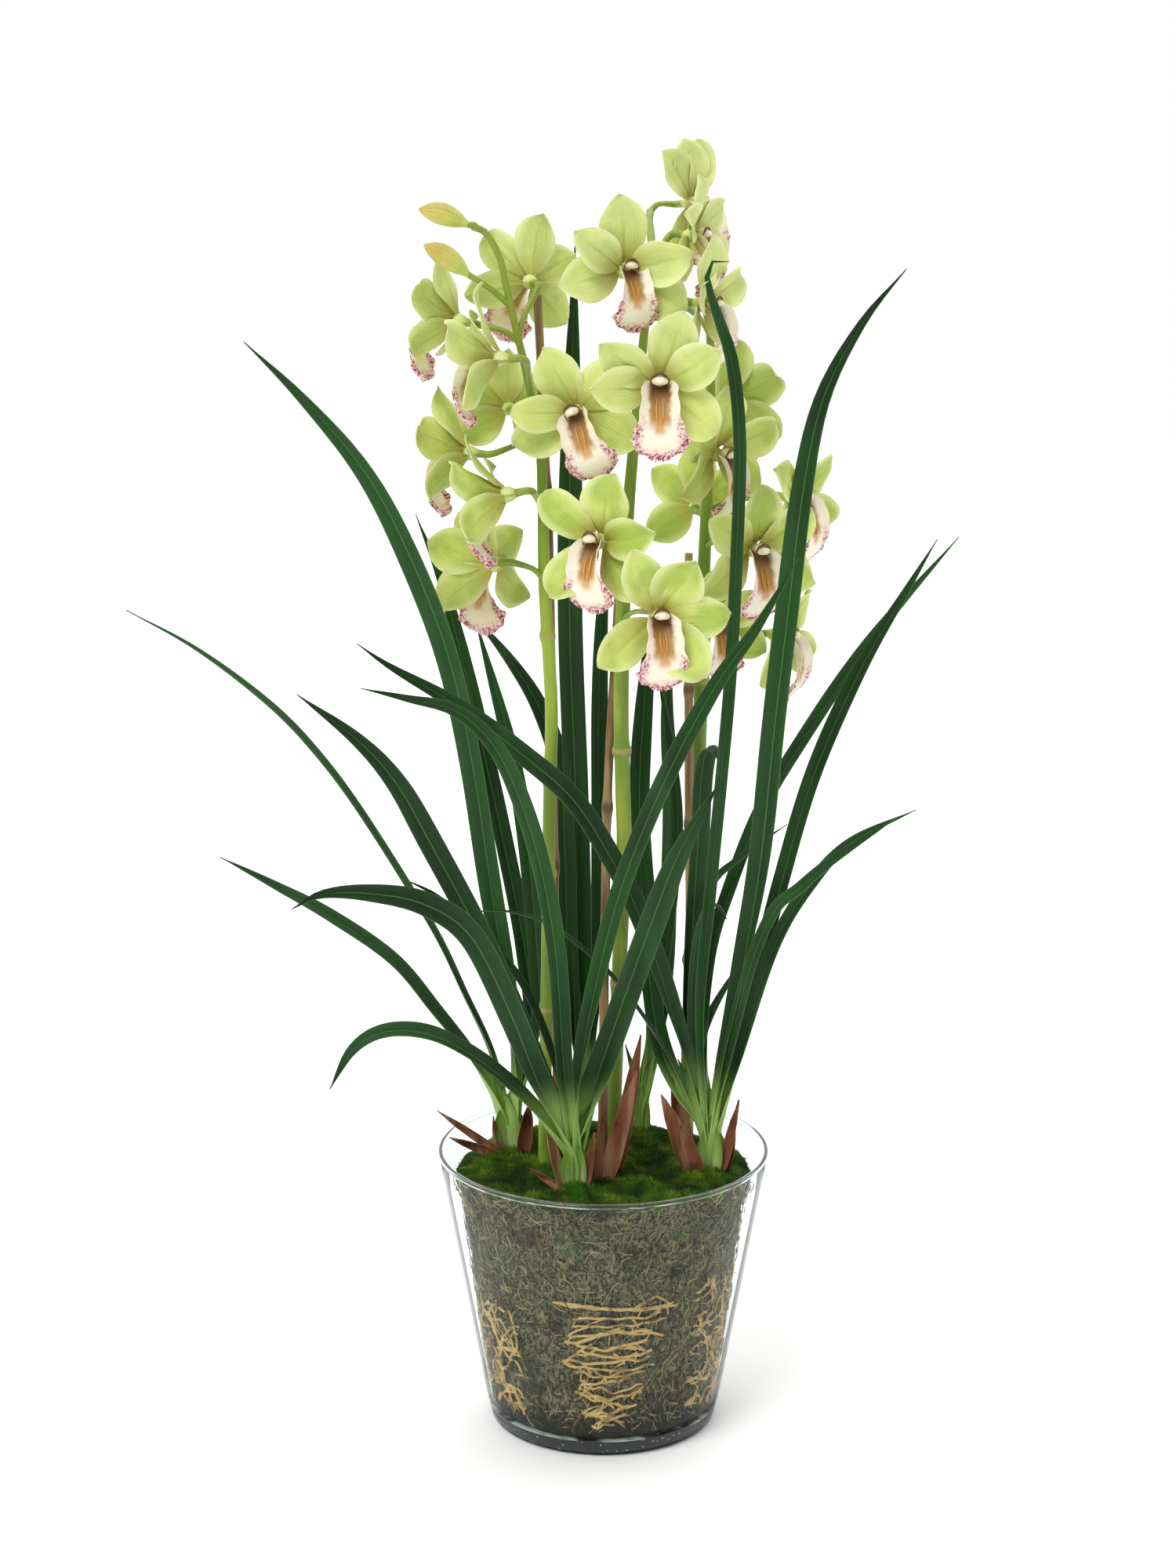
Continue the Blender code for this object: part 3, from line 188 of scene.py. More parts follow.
def through(points, index, share):
    """Value of a Catmull-Rom curve on the stretch that starts at index."""
    before = points[index - 1] if index > 0 else points[0] * 2.0 - points[1]
    start = points[index]
    end = points[index + 1]
    after = points[index + 2] if index + 2 < len(points) else points[-1] * 2.0 - points[-2]
    return 0.5 * (
        2.0 * start
        + (end - before) * share
        + (2.0 * before - 5.0 * start + 4.0 * end - after) * share ** 2
        + (3.0 * start - before - 3.0 * end + after) * share ** 3
    )


def outline(points, place):
    """Height of a smooth curve through (place, height) pairs."""
    places = [point[0] for point in points]
    index = min(max(int(np.searchsorted(places, place)) - 1, 0), len(points) - 2)
    share = (place - places[index]) / (places[index + 1] - places[index])
    return through([point[1] for point in points], index, min(max(share, 0.0), 1.0))


def smooth_path(route, count):
    """Evenly spaced points, count of them, on a smooth curve through the route."""
    points = [Vector(point) for point in route]
    fine = []
    for index in range(len(points) - 1):
        for part in range(16):
            fine.append(through(points, index, part / 16.0))
    fine.append(points[-1])
    lengths = [0.0]
    for start, end in zip(fine, fine[1:]):
        lengths.append(lengths[-1] + (end - start).length)
    path = []
    place = 0
    for number in range(count):
        target = lengths[-1] * number / (count - 1)
        while place < len(fine) - 2 and lengths[place + 1] < target:
            place += 1
        stretch = lengths[place + 1] - lengths[place]
        path.append(fine[place].lerp(fine[place + 1], (target - lengths[place]) / stretch))
    return path


def tangents(path):
    """Unit direction of the path at each of its points."""
    last = len(path) - 1
    return [(path[min(i + 1, last)] - path[max(i - 1, 0)]).normalized() for i in range(last + 1)]


def shares(count):
    """Evenly spaced shares of a length, count of them, from 0 to 1."""
    return [number / (count - 1) for number in range(count)]


def along(path):
    """Share of the way, place and direction at each point of a path."""
    return zip(shares(len(path)), path, tangents(path))


def span(half):
    """Places across a strip from -1 to 1, with half of the steps on each side."""
    return [step / half for step in range(-half, half + 1)]


def levels(start, end, count):
    """The count values that lead from start in equal steps to end, without start."""
    return [mix(start, end, step / count) for step in range(1, count + 1)]


def arc(middle, height, radius, first, last, steps):
    """Points of a section's arc round a middle and height, between two angles in degrees."""
    points = []
    for share in shares(steps + 1):
        turn = math.radians(mix(first, last, share))
        points.append((middle + radius * math.cos(turn), height + radius * math.sin(turn)))
    return points


def on_circle(radius, turn, height):
    """Place at a radius and a height, turn radians round from +X."""
    return (radius * math.cos(turn), radius * math.sin(turn), height)


# Meshes

# How much thinner a sheet is at its side edges than in its middle, as a share.
EDGE_THINNING = 0.6


class Shape:
    """Points, faces, UVs and one mark a point; the mark tells tips, scars, spots and the moss's painted light
    and shade.
    """

    def __init__(self, points, faces, uvs=None, marks=None, finish=0):
        self.points = np.array(points, float).reshape(-1, 3)
        self.faces = faces
        self.uvs = np.zeros((len(self.points), 2)) if uvs is None else np.array(uvs, float)
        self.marks = np.zeros(len(self.points)) if marks is None else np.array(marks, float)
        self.finishes = [finish] * len(faces)

    def moved(self, matrix):
        turned = np.array(matrix.to_3x3())
        self.points = self.points @ turned.T + np.array(matrix.translation)
        return self


def join(shapes):
    """One shape from several, each with its own finish."""
    first = 0
    faces = []
    finishes = []
    for shape in shapes:
        faces += [tuple(corner + first for corner in face) for face in shape.faces]
        finishes += shape.finishes
        first += len(shape.points)
    points = np.concatenate([shape.points for shape in shapes])
    uvs = np.concatenate([shape.uvs for shape in shapes])
    whole = Shape(points, faces, uvs, np.concatenate([shape.marks for shape in shapes]))
    whole.finishes = finishes
    return whole


def sheet(rows, thickness, finish=0):
    """Thin closed sheet round rows of points; u runs across it and v along it."""
    grid = np.array(rows, float)
    count, columns = grid.shape[:2]
    forward = np.gradient(grid, axis=0)
    across = np.gradient(grid, axis=1)
    normal = np.cross(across, forward)
    normal /= np.maximum(np.linalg.norm(normal, axis=2, keepdims=True), 1e-9)
    side = np.abs(np.linspace(-1.0, 1.0, columns))[None, :, None]
    half = thickness / 2.0 * (1.0 - EDGE_THINNING * side ** 4)
    points = np.concatenate([(grid + normal * half).reshape(-1, 3), (grid - normal * half).reshape(-1, 3)])
    size = count * columns
    faces = []
    for i in range(count - 1):
        for j in range(columns - 1):
            a = i * columns + j
            faces.append((a, a + 1, a + 1 + columns, a + columns))
            faces.append((size + a + columns, size + a + 1 + columns, size + a + 1, size + a))
    rim = list(range(columns))
    rim += [i * columns + columns - 1 for i in range(1, count)]
    rim += [(count - 1) * columns + j for j in range(columns - 2, -1, -1)]
    rim += [i * columns for i in range(count - 2, 0, -1)]
    for start, end in zip(rim, rim[1:] + rim[:1]):
        faces.append((end, start, size + start, size + end))
    u, v = np.meshgrid(np.linspace(0.0, 1.0, columns), np.linspace(0.0, 1.0, count))
    uvs = np.stack([u, v], axis=2).reshape(-1, 2)
    return Shape(points, faces, np.concatenate([uvs, uvs]), finish=finish)


def tube(path, radii, sides, across=None, finish=0, marks=None):
    """Round or oval rod along a path; radii is one (wide, deep) pair a point."""
    ways = tangents(path)
    axis = (across or Vector((1.0, 0.0, 0.0))).copy()
    points = []
    uvs = []
    told = []
    for number, (point, way, (wide, deep)) in enumerate(zip(path, ways, radii)):
        axis = (axis - way * axis.dot(way)).normalized()
        other = way.cross(axis)
        for k in range(sides):
            turn = math.tau * k / sides
            points.append(point + axis * wide * math.cos(turn) + other * deep * math.sin(turn))
            uvs.append((k / sides, number / (len(path) - 1)))
            told.append(marks[number] if marks else 0.0)
    faces = []
    for i in range(len(path) - 1):
        for k in range(sides):
            a = i * sides + k
            b = i * sides + (k + 1) % sides
            faces.append((a, b, b + sides, a + sides))
    last = (len(path) - 1) * sides
    faces.append(tuple(range(sides - 1, -1, -1)))
    faces.append(tuple(range(last, last + sides)))
    return Shape(points, faces, uvs, told, finish)


def turned(profile, sides, ripple=None, finish=0):
    """Solid of revolution; the profile starts and ends on the axis, outside first."""
    points = [(0.0, 0.0, profile[0][1])]
    for radius, height in profile[1:-1]:
        for k in range(sides):
            turn = math.tau * k / sides
            points.append(on_circle(radius + (ripple(turn, height) if ripple else 0.0), turn, height))
    points.append((0.0, 0.0, profile[-1][1]))
    last = len(points) - 1
    rows = len(profile) - 2
    faces = []
    for k in range(sides):
        following = (k + 1) % sides
        faces.append((0, 1 + following, 1 + k))
        faces.append((last, 1 + (rows - 1) * sides + k, 1 + (rows - 1) * sides + following))
        for row in range(rows - 1):
            a = 1 + row * sides + k
            b = 1 + row * sides + following
            faces.append((a, b, b + sides, a + sides))
    return Shape(points, faces, finish=finish)


def ring_solid(section, sides, finish=0):
    """Closed ring; section gives its (radius, height) outline at an angle in radians."""
    points = []
    faces = []
    for k in range(sides):
        turn = math.tau * k / sides
        outside = section(turn)
        here = k * len(outside)
        ahead = (k + 1) % sides * len(outside)
        for step, (radius, height) in enumerate(outside):
            beside = (step + 1) % len(outside)
            points.append(on_circle(radius, turn, height))
            faces.append((here + step, ahead + step, ahead + beside, here + beside))
    return Shape(points, faces, finish=finish)


def piece(name, shape, finishes, nodes, sharp=60.0):
    """Object that rides on the part, stands for its nodes and takes a slot's finish."""
    mesh = bpy.data.meshes.new(name)
    mesh.from_pydata((shape.points * MM).tolist(), [], shape.faces)
    for finish in finishes:
        mesh.materials.append(finish)
    mesh.polygons.foreach_set("material_index", shape.finishes)
    corners = np.empty(len(mesh.loops), int)
    mesh.loops.foreach_get("vertex_index", corners)
    mesh.uv_layers.new(name="UVMap").data.foreach_set("uv", shape.uvs[corners].ravel())
    mesh.attributes.new("mark", "FLOAT", "POINT").data.foreach_set("value", shape.marks)
    mesh.update()
    mesh.shade_smooth()
    mesh.set_sharp_from_angle(angle=math.radians(sharp))
    made = bpy.data.objects.new(name, mesh)
    bpy.context.scene.collection.objects.link(made)
    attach(made, "root")
    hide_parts(*nodes)


# Shaders


class Value:
    """Number of a shader that takes part in Python sums; each sum adds a Math node."""

    def __init__(self, tree, socket):
        self.tree = tree
        self.socket = socket

    def maths(self, operation, first, second):
        node = self.tree.nodes.new("ShaderNodeMath")
        node.operation = operation
        plug(self.tree, node.inputs[0], first)
        plug(self.tree, node.inputs[1], second)
        return Value(self.tree, node.outputs[0])

    def __add__(self, other):
        return self.maths("ADD", self, other)

    def __sub__(self, other):
        return self.maths("SUBTRACT", self, other)

    def __rsub__(self, other):
        return self.maths("SUBTRACT", other, self)

    def __mul__(self, other):
        return self.maths("MULTIPLY", self, other)

    def __abs__(self):
        return self.maths("ABSOLUTE", self, 0.0)


def plug(tree, slot, given):
    """Feed a socket from a shader value, or set it."""
    if isinstance(given, Value):
        tree.links.new(given.socket, slot)
    else:
        slot.default_value = given


class Tree:
    """Shader tree and the nodes that its surfaces share."""

    def __init__(self, tree, shader):
        self.tree = tree
        self.shader = tree.nodes[shader]
        place = tree.nodes.new("ShaderNodeTexCoord")
        self.place = Value(tree, place.outputs["Object"])
        self.uv = Value(tree, place.outputs["UV"])
        self.way = Value(tree, place.outputs["Generated"])

    def set(self, **sockets):
        """Set or feed the shader's sockets; an underscore in a name is a space."""
        for key, given in sockets.items():
            plug(self.tree, self.shader.inputs[key.replace("_", " ")], given)

    def node(self, kind, settings=None, sockets=None, output=0):
        """Any node: its type, its settings, then what its sockets take."""
        made = self.tree.nodes.new(kind)
        for key, value in (settings or {}).items():
            setattr(made, key, value)
        for key, given in (sockets or {}).items():
            plug(self.tree, made.inputs[key], given)
        return Value(self.tree, made.outputs[output])

    def split(self, vector):
        parts = self.node("ShaderNodeSeparateXYZ", sockets={0: vector})
        return [Value(self.tree, socket) for socket in parts.socket.node.outputs]

    def mark(self):
        return self.node("ShaderNodeAttribute", {"attribute_name": "mark"}, output=2)

    def noise(self, scale, detail, stretch=(1.0, 1.0, 1.0), roughness=0.5):
        spread = self.node("ShaderNodeVectorMath", {"operation": "MULTIPLY"}, {0: self.place, 1: stretch})
        return self.node("ShaderNodeTexNoise", None, {"Vector": spread, "Scale": scale, "Detail": detail,
                                                      "Roughness": roughness})

    def cells(self, scale):
        """Distance to the nearest of many scattered points."""
        return self.node("ShaderNodeTexVoronoi", {"feature": "F1"}, {"Vector": self.place, "Scale": scale})

    def sine(self, value):
        return self.node("ShaderNodeMath", {"operation": "SINE"}, {0: value})

    def larger(self, first, second):
        return self.node("ShaderNodeMath", {"operation": "MAXIMUM"}, {0: first, 1: second})

    def step(self, value, low, high):
        """0 below low, 1 above high and smooth between; low may be the higher one."""
        return self.node("ShaderNodeMapRange", {"interpolation_type": "SMOOTHSTEP"},
                         {"Value": value, "From Min": low, "From Max": high})

    def blend(self, share, first, second):
        """Colour between two others, by a share."""
        return self.node("ShaderNodeMix", {"data_type": "RGBA", "blend_type": "MIX"},
                         {0: share, 6: tuple_of(first), 7: tuple_of(second)}, 2)

    def bump(self, height, depth, strength):
        """Relief of a height value, depth millimetres deep."""
        self.set(Normal=self.node("ShaderNodeBump", None, {"Height": height, "Distance": depth * MM,
                                                           "Strength": strength}))


def tuple_of(given):
    return given if isinstance(given, Value) else tuple(given)


class Finish(Tree):
    """Material of one surface."""

    def __init__(self, name, **sockets):
        self.material = bpy.data.materials.new(name)
        self.material.use_nodes = True
        super().__init__(self.material.node_tree, "Principled BSDF")
        self.set(**sockets)


def settings():
    return bpy.context.scene.planting


# Vase


VASE_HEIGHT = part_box("vase")[1].z / MM
FOOT_ROUND = 5.0
FLOOR_ROUND = 4.0
# The hollow under the base: how far inside the base's edge it starts and is flat, and how deep it is.
HOLLOW_START = 12.0
HOLLOW_FLAT = 16.0
HOLLOW_DEPTH = 0.6
# The bead stands out this far from the glass's rounded rim, and its middle lies this far lower.
RIM_BEAD = 0.3
RIM_BEAD_DROP = 0.4
# The dark body inside the foot, a painted reflection of the dark filling, lies this far under the glass's own
# surface.
FOOT_SKIN = 0.9
FILLING_FOOT = 12.4


def vase_radius(height):
    """Outer radius of the glass at a height in millimetres."""
    vase = settings().vase
    return mix(vase.base_radius, vase.rim_radius, height / VASE_HEIGHT) / MM


def glass_profile():
    """Section of the glass from the middle of its foot, over the rim, to its floor."""
    vase = settings().vase
    wall = vase.wall / MM
    floor = vase.floor / MM
    base = vase.base_radius / MM
    top = VASE_HEIGHT - wall / 2.0
    profile = [(0.0, HOLLOW_DEPTH), (base - HOLLOW_FLAT, HOLLOW_DEPTH), (base - HOLLOW_START, 0.0)]
    profile += arc(base - FOOT_ROUND, FOOT_ROUND, FOOT_ROUND, -90.0, 0.0, 6)
    profile += [(vase_radius(height), height) for height in levels(FOOT_ROUND, top, 11)]
    profile += arc(vase_radius(top) - wall / 2.0, top, wall / 2.0, 30.0, 180.0, 5)
    profile += [(vase_radius(height) - wall, height) for height in levels(top, floor + FLOOR_ROUND, 9)]
    inner = vase_radius(floor + FLOOR_ROUND) - wall
    profile += arc(inner - FLOOR_ROUND, floor + FLOOR_ROUND, FLOOR_ROUND, -15.0, -90.0, 5)
    profile.append((0.0, floor))
    return profile


def rim_ring():
    """Rounded bead on the rim of the glass."""
    wall = settings().vase.wall / MM
    top = VASE_HEIGHT - wall / 2.0
    circle = arc(vase_radius(top) - wall / 2.0, top - RIM_BEAD_DROP, wall / 2.0 + RIM_BEAD, 0.0, 330.0, 11)
    return ring_solid(lambda turn: circle, settings().vase.sides, 1)


def thick_foot():
    """Thick foot of the glass, a dark solid that carries the painted reflection of the dark filling."""
    base = settings().vase.base_radius / MM
    top = FILLING_FOOT - 0.8
    profile = [(0.0, 1.0), (base - HOLLOW_START - 0.5, 1.0)]
    profile += arc(base - FOOT_ROUND - 0.6, 5.8, 4.8, -90.0, 0.0, 6)
    profile += [(vase_radius(height) - FOOT_SKIN, height) for height in (8.0, top)]
    profile.append((0.0, top))
    return turned(profile, settings().vase.sides, finish=2)


def clear_glass():
    return Finish("clear_glass", Base_Color=tuple(settings().vase.tint), Roughness=0.0, IOR=1.03,
                  Transmission_Weight=1.0, Coat_Weight=0.35, Coat_Roughness=0.02, Coat_IOR=1.4).material


def rim_glass():
    return Finish("rim_glass", Base_Color=(0.86, 0.90, 0.89, 1.0), Roughness=0.03, IOR=1.4,
                  Transmission_Weight=1.0).material


def foot_glass():
    """Painted reflection of the dark filling in the glass foot: dark greenish, with pale glints that are a
    painted highlight, and specks.
    """
    made = Finish("foot_glass", Roughness=0.12, Specular_IOR_Level=0.6)
    specks = made.cells(210.0)
    patches = made.noise(40.0, 2.0, (1.0, 1.0, 3.0))
    _, _, height = made.split(made.place)
    # Painted reflection: the dark filling seen through the thick glass foot.
    body = made.blend(made.step(patches, 0.4, 0.66), colour(5, 7, 7), colour(18, 22, 21))
    # Painted highlight: a pale line of glints near the top of the foot.
    glint = made.step(height, 0.0108, 0.0114) * made.step(patches, 0.42, 0.56)
    body = made.blend(glint, body, colour(196, 204, 200))
    made.set(Base_Color=made.blend(made.step(specks, 0.15, 0.09), body, colour(190, 198, 196)))
    return made.material


class BuildVase(bpy.types.Operator):
    """Build the clear conical vase"""

    bl_idname = "planting.vase"
    bl_label = "Glass vase"

    def execute(self, context):
        shape = join([turned(glass_profile(), settings().vase.sides), rim_ring(), thick_foot()])
        piece("glass_vase", shape, [clear_glass(), rim_glass(), foot_glass()], ("vase",), 40.0)
        return {"FINISHED"}


# Filling: bark, roots and moss

SOIL_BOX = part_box("soil")
SOIL_BOTTOM = SOIL_BOX[0].z / MM
SOIL_TOP = SOIL_BOX[1].z / MM
SOIL_TOP_RADIUS = SOIL_BOX[1].x / MM
SOIL_TAPER = 20.5
SOIL_BOTTOM_RADIUS = SOIL_TOP_RADIUS - SOIL_TAPER
SOIL_SIDES = 180
SOIL_ROWS = 47
# The filling climbs the glass at the front, flares over its last stretch and ends in a ragged edge.
COLLAR_RISE = 13.0
COLLAR_RAGGED = 5.0
COLLAR_FLARE = 4.2
COLLAR_FOOT = 9.0
FIBRE_RADIUS = 0.32
MOSS_RADIUS = 95.0
MOSS_TOP = 170.5
MOSS_RINGS = 44
MOSS_SIDES = 150
# The moss dips, and gets painted shade, where moss_creases is below this.
CREASE = 0.16
FRONT_PATCHES = (
    # middle angle, reach, lowest, highest
    (-86.0, 25.0, 22.0, 110.0),
    (30.0, 26.0, 22.0, 106.0),
    (150.0, 26.0, 22.0, 110.0),
)
SIDE_PATCHES = (
    (-147.0, 15.0, 22.0, 96.0),
    (-27.0, 19.0, 22.0, 114.0),
    (90.0, 22.0, 22.0, 98.0),
    (-172.0, 8.0, 30.0, 84.0),
)
ROOT_LEVEL = 6.4
ROOT_LIFT = 1.6
# Width of a front patch as a share of its reach, from its foot to its top.
PATCH_WIDTHS = ((0.0, 0.42), (0.35, 0.72), (0.7, 0.95), (0.88, 1.3), (1.0, 1.1))


def soil_radius(height):
    return mix(SOIL_BOTTOM_RADIUS, SOIL_TOP_RADIUS, (height - SOIL_BOTTOM) / (SOIL_TOP - SOIL_BOTTOM))


def lumps(x, y, z, size):
    """Smooth random height between -1 and 1 with features of a size in millimetres."""
    return mathutils_noise.noise(Vector((x, y, z)) / size)


def bark_ripple(turn, height):
    """How far the filling stands out at an angle and a height."""
    place = on_circle(80.0, turn, height)
    return 1.1 * lumps(*place, 9.0) + 0.7 * lumps(*place, 3.6)


def bark_filling():
    filling = settings().filling
    made = Finish("bark_filling", Roughness=0.95, Specular_IOR_Level=0.2)
    grain = made.noise(520.0, 5.0, (1.0, 1.0, 0.45), roughness=0.7)
    threads = made.noise(900.0, 3.0, (0.5, 0.5, 1.6))
    patches = made.noise(42.0, 3.0)
    chips = made.cells(240.0)
    _, _, height = made.split(made.place)
    body = made.blend(made.step(grain, 0.45, 0.58), filling.bark, filling.grit)
    body = made.blend(made.step(threads, 0.54, 0.62) * 0.8, body, colour(150, 132, 92))
    mossy = made.step(patches, 0.52, 0.66) * made.step(height, 0.09, 0.15)
    body = made.blend(mossy * 0.55, body, colour(70, 92, 52))
    body = made.blend(made.step(patches, 0.50, 0.36) * 0.7, body, colour(40, 38, 30))
    made.set(Base_Color=made.blend(made.step(height, 0.040, 0.018) * 0.85, body, colour(26, 23, 19)))
    made.bump(grain * 0.6 + chips, 1.2, 0.8)
    return made.material


def fibre_brown():
    filling = settings().filling
    made = Finish("fibre_brown", Roughness=0.9, Specular_IOR_Level=0.2)
    kind = made.mark()
    body = made.blend(made.step(kind, 0.0, 0.45), colour(26, 22, 16), filling.grit)
    body = made.blend(made.step(kind, 0.4, 0.9), body, colour(196, 174, 126))
    made.set(Base_Color=made.blend(made.noise(60.0, 2.0) * 0.4, body, colour(84, 100, 60)))
    return made.material


def collar_rise(degrees):
    """How far the filling climbs the glass above its top at an angle; most at the front."""
    front = ease(-math.sin(math.radians(degrees)) * 1.6)
    return front * (COLLAR_RISE + COLLAR_RAGGED * lumps(degrees * 0.2, 3.0, 0.0, 1.4))


def flared_radius(height):
    """Radius of the filling with the flare of its top edge."""
    return soil_radius(height) + COLLAR_FLARE * ease((height - SOIL_TOP + COLLAR_FOOT) / 11.0)


def collar_section(turn):
    """Outline of the collar at an angle in radians, up its outside and down its inside."""
    foot = SOIL_TOP - COLLAR_FOOT
    top = SOIL_TOP - 1.0 + collar_rise(math.degrees(turn))
    section = [(flared_radius(height) - 0.3, height) for height in (foot, *levels(foot, top, 4))]
    section.append((flared_radius(top) - 3.5, top - 0.5))
    section.append((soil_radius(SOIL_TOP) - 4.0, foot))
    return section


def on_filling(degrees, height, lift):
    return Vector(on_circle(flared_radius(height) + lift, math.radians(degrees), height))


def loose_fibres(draw, count):
    """Short curved fibres that stand a little off the filling's side."""
    shapes = []
    for _ in range(count):
        turn = draw.uniform(-180.0, 180.0)
        top = SOIL_TOP + collar_rise(turn)
        height = mix(SOIL_BOTTOM + 6.0, top, draw.random())
        heading = draw.uniform(0.0, math.tau)
        bend = draw.uniform(-0.4, 0.4)
        length = draw.uniform(1.0, 2.6)
        lift = 0.3 + 2.6 * draw.random() ** 3.0
        points = []
        for _ in range(5):
            points.append(on_filling(turn, min(max(height, SOIL_BOTTOM + 2.0), top + 1.5), lift))
            turn += length * math.cos(heading) / 1.5
            height += length * math.sin(heading)
            heading += bend
        kind = draw.random() ** 1.6
        shapes.append(tube(points, [(FIBRE_RADIUS, FIBRE_RADIUS)] * 5, 3, UP, 1, [kind] * 5))
    return shapes


class BuildFilling(bpy.types.Operator):
    """Build the block of bark and fibres that fills the vase"""

    bl_idname = "planting.filling"
    bl_label = "Bark filling"

    def execute(self, context):
        heights = [mix(FILLING_FOOT, SOIL_TOP, share) for share in shares(SOIL_ROWS)]
        profile = [(soil_radius(height), height) for height in heights]
        profile = [(0.0, FILLING_FOOT), *profile, (0.0, SOIL_TOP)]
        shapes = [turned(profile, SOIL_SIDES, bark_ripple), ring_solid(collar_section, SOIL_SIDES)]
        shapes += loose_fibres(random.Random(8), settings().filling.fibres)
        piece("bark_filling", join(shapes), [bark_filling(), fibre_brown()], ("soil",))
        return {"FINISHED"}


def root_strand(points, radius):
    return tube(points, [(radius, radius * 0.8)] * len(points), 6, UP)


def root_tan():
    filling = settings().filling
    made = Finish("root_tan", Roughness=0.75)
    streaks = made.noise(260.0, 3.0)
    patches = made.noise(70.0, 2.0)
    body = made.blend(made.step(streaks, 0.35, 0.65), filling.root, colour(216, 182, 118))
    body = made.blend(made.step(patches, 0.52, 0.70) * 0.6, body, colour(176, 112, 70))
    # Dark brown patches, partly stains and partly painted shade.
    stains_and_shade = made.step(made.noise(130.0, 2.0), 0.50, 0.64)
    made.set(Base_Color=made.blend(stains_and_shade * 0.7, body, colour(112, 88, 50)))
    made.bump(streaks, 0.3, 0.5)
    return made.material


def level_roots(draw, patch, radius):
    """Wavy strands stacked in levels over one patch, with branches between them."""
    middle, reach, low, high = patch
    shapes = []
    for level in range(int((high - low) / ROOT_LEVEL) + 1):
        height = low + level * ROOT_LEVEL
        up = level * ROOT_LEVEL / (high - low)
        wide = reach * outline(PATCH_WIDTHS, min(up, 1.0))
        centre = middle + mix(-4.0, 1.0, up)
        for _ in range(draw.choice((1, 2, 2))):
            start = height + draw.uniform(-4.0, 4.0)
            end = height + draw.uniform(-4.0, 4.0)
            arch = draw.uniform(-4.5, 4.5)
            left = centre - wide * draw.uniform(0.5, 1.1)
            right = centre + wide * draw.uniform(0.5, 1.1)
            seed = draw.uniform(0.0, 90.0)
            points = []
            for share in shares(30):
                wave = arch * math.sin(math.pi * share) + 3.2 * lumps(share * 4.0, seed, 0.0, 0.8)
                lift = ROOT_LIFT + 0.5 * math.sin(seed + share * 9.0)
                points.append(on_filling(mix(left, right, share), mix(start, end, share) + wave, lift))
            shapes.append(root_strand(points, radius * draw.uniform(0.7, 1.2)))
        for _ in range(3):
            turn = centre + wide * draw.uniform(-0.9, 0.9)
            lean = draw.uniform(-11.0, 11.0)
            points = []
            for share in shares(9):
                points.append(on_filling(turn + lean * share ** 1.6, height + 8.0 * share, ROOT_LIFT + 0.3))
            shapes.append(root_strand(points, radius * draw.uniform(0.45, 0.8)))
    return shapes


def winding_roots(draw, patch, radius):
    """Thinner strands that wander over one patch."""
    middle, reach, low, high = patch
    shapes = []
    for _ in range(int(reach * 2.4)):
        height = draw.uniform(low + 3.0, high)
        turn = middle + reach * draw.uniform(-1.0, 1.0)
        heading = draw.uniform(-0.9, 0.9) + math.pi * draw.randint(0, 1)
        points = []
        for _ in range(draw.randint(8, 18)):
            points.append(on_filling(turn, height, ROOT_LIFT + draw.uniform(-0.3, 0.4)))
            heading += draw.uniform(-0.7, 0.7)
            if abs(turn - middle) > reach:
                heading = math.pi if turn > middle else 0.0
            if height > high or height < low:
                heading = -math.pi / 2.0 if height > high else math.pi / 2.0
            turn += 1.6 * math.cos(heading)
            height += 2.4 * math.sin(heading)
        shapes.append(root_strand(points, radius * draw.uniform(0.5, 0.9)))
    return shapes


class BuildRoots(bpy.types.Operator):
    """Build the roots that show against the glass"""

    bl_idname = "planting.roots"
    bl_label = "Roots"

    def execute(self, context):
        draw = random.Random(4)
        radius = settings().filling.strand / MM
        shapes = []
        for patch in FRONT_PATCHES:
            shapes += level_roots(draw, patch, radius)
        for patch in SIDE_PATCHES:
            shapes += winding_roots(draw, patch, radius)
        piece("root_net", join(shapes), [root_tan()], ("roots",))
        return {"FINISHED"}


def moss_creases(x, y):
    """Distance from the winding creases between the cushions, none in a crease."""
    return abs(lumps(x, y, 17.0, 30.0))


def moss_height(x, y):
    """Height of the cushiony moss top at a place."""
    edge = ease((math.hypot(x, y) - 70.0) / (MOSS_RADIUS - 70.0))
    cushions = 4.2 * lumps(x, y, 3.0, 24.0) + 2.2 * lumps(x, y, 9.0, 10.0)
    cushions -= 14.0 * max(0.0, CREASE - moss_creases(x, y))
    return MOSS_TOP + 0.8 + cushions * (1.0 - 0.4 * edge) - 3.5 * edge


def moss_painted_light(x, y):
    """Painted light of the moss at a place: painted shade in its creases, a painted highlight on its
    cushions.
    """
    cushions = 0.52 + 1.5 * lumps(x, y, 3.0, 24.0) + 0.9 * lumps(x, y * 1.5, 9.0, 9.0)
    return min(1.0, moss_creases(x, y) / CREASE) * min(1.0, max(0.1, cushions))


def moss_green():
    filling = settings().filling
    made = Finish("moss_green", Roughness=0.9, Specular_IOR_Level=0.15)
    patches = made.noise(60.0, 3.0)
    fine = made.noise(900.0, 2.0)
    # The mark carries the moss's painted light: painted shade deep down and in the creases, a painted
    # highlight on the cushions.
    tip = made.mark() * 0.85 + fine * 0.15
    tips = made.blend(made.step(patches, 0.36, 0.64), colour(66, 118, 18), filling.moss_tip)
    made.set(Base_Color=made.blend(tip, filling.moss_shade, tips))
    return made.material


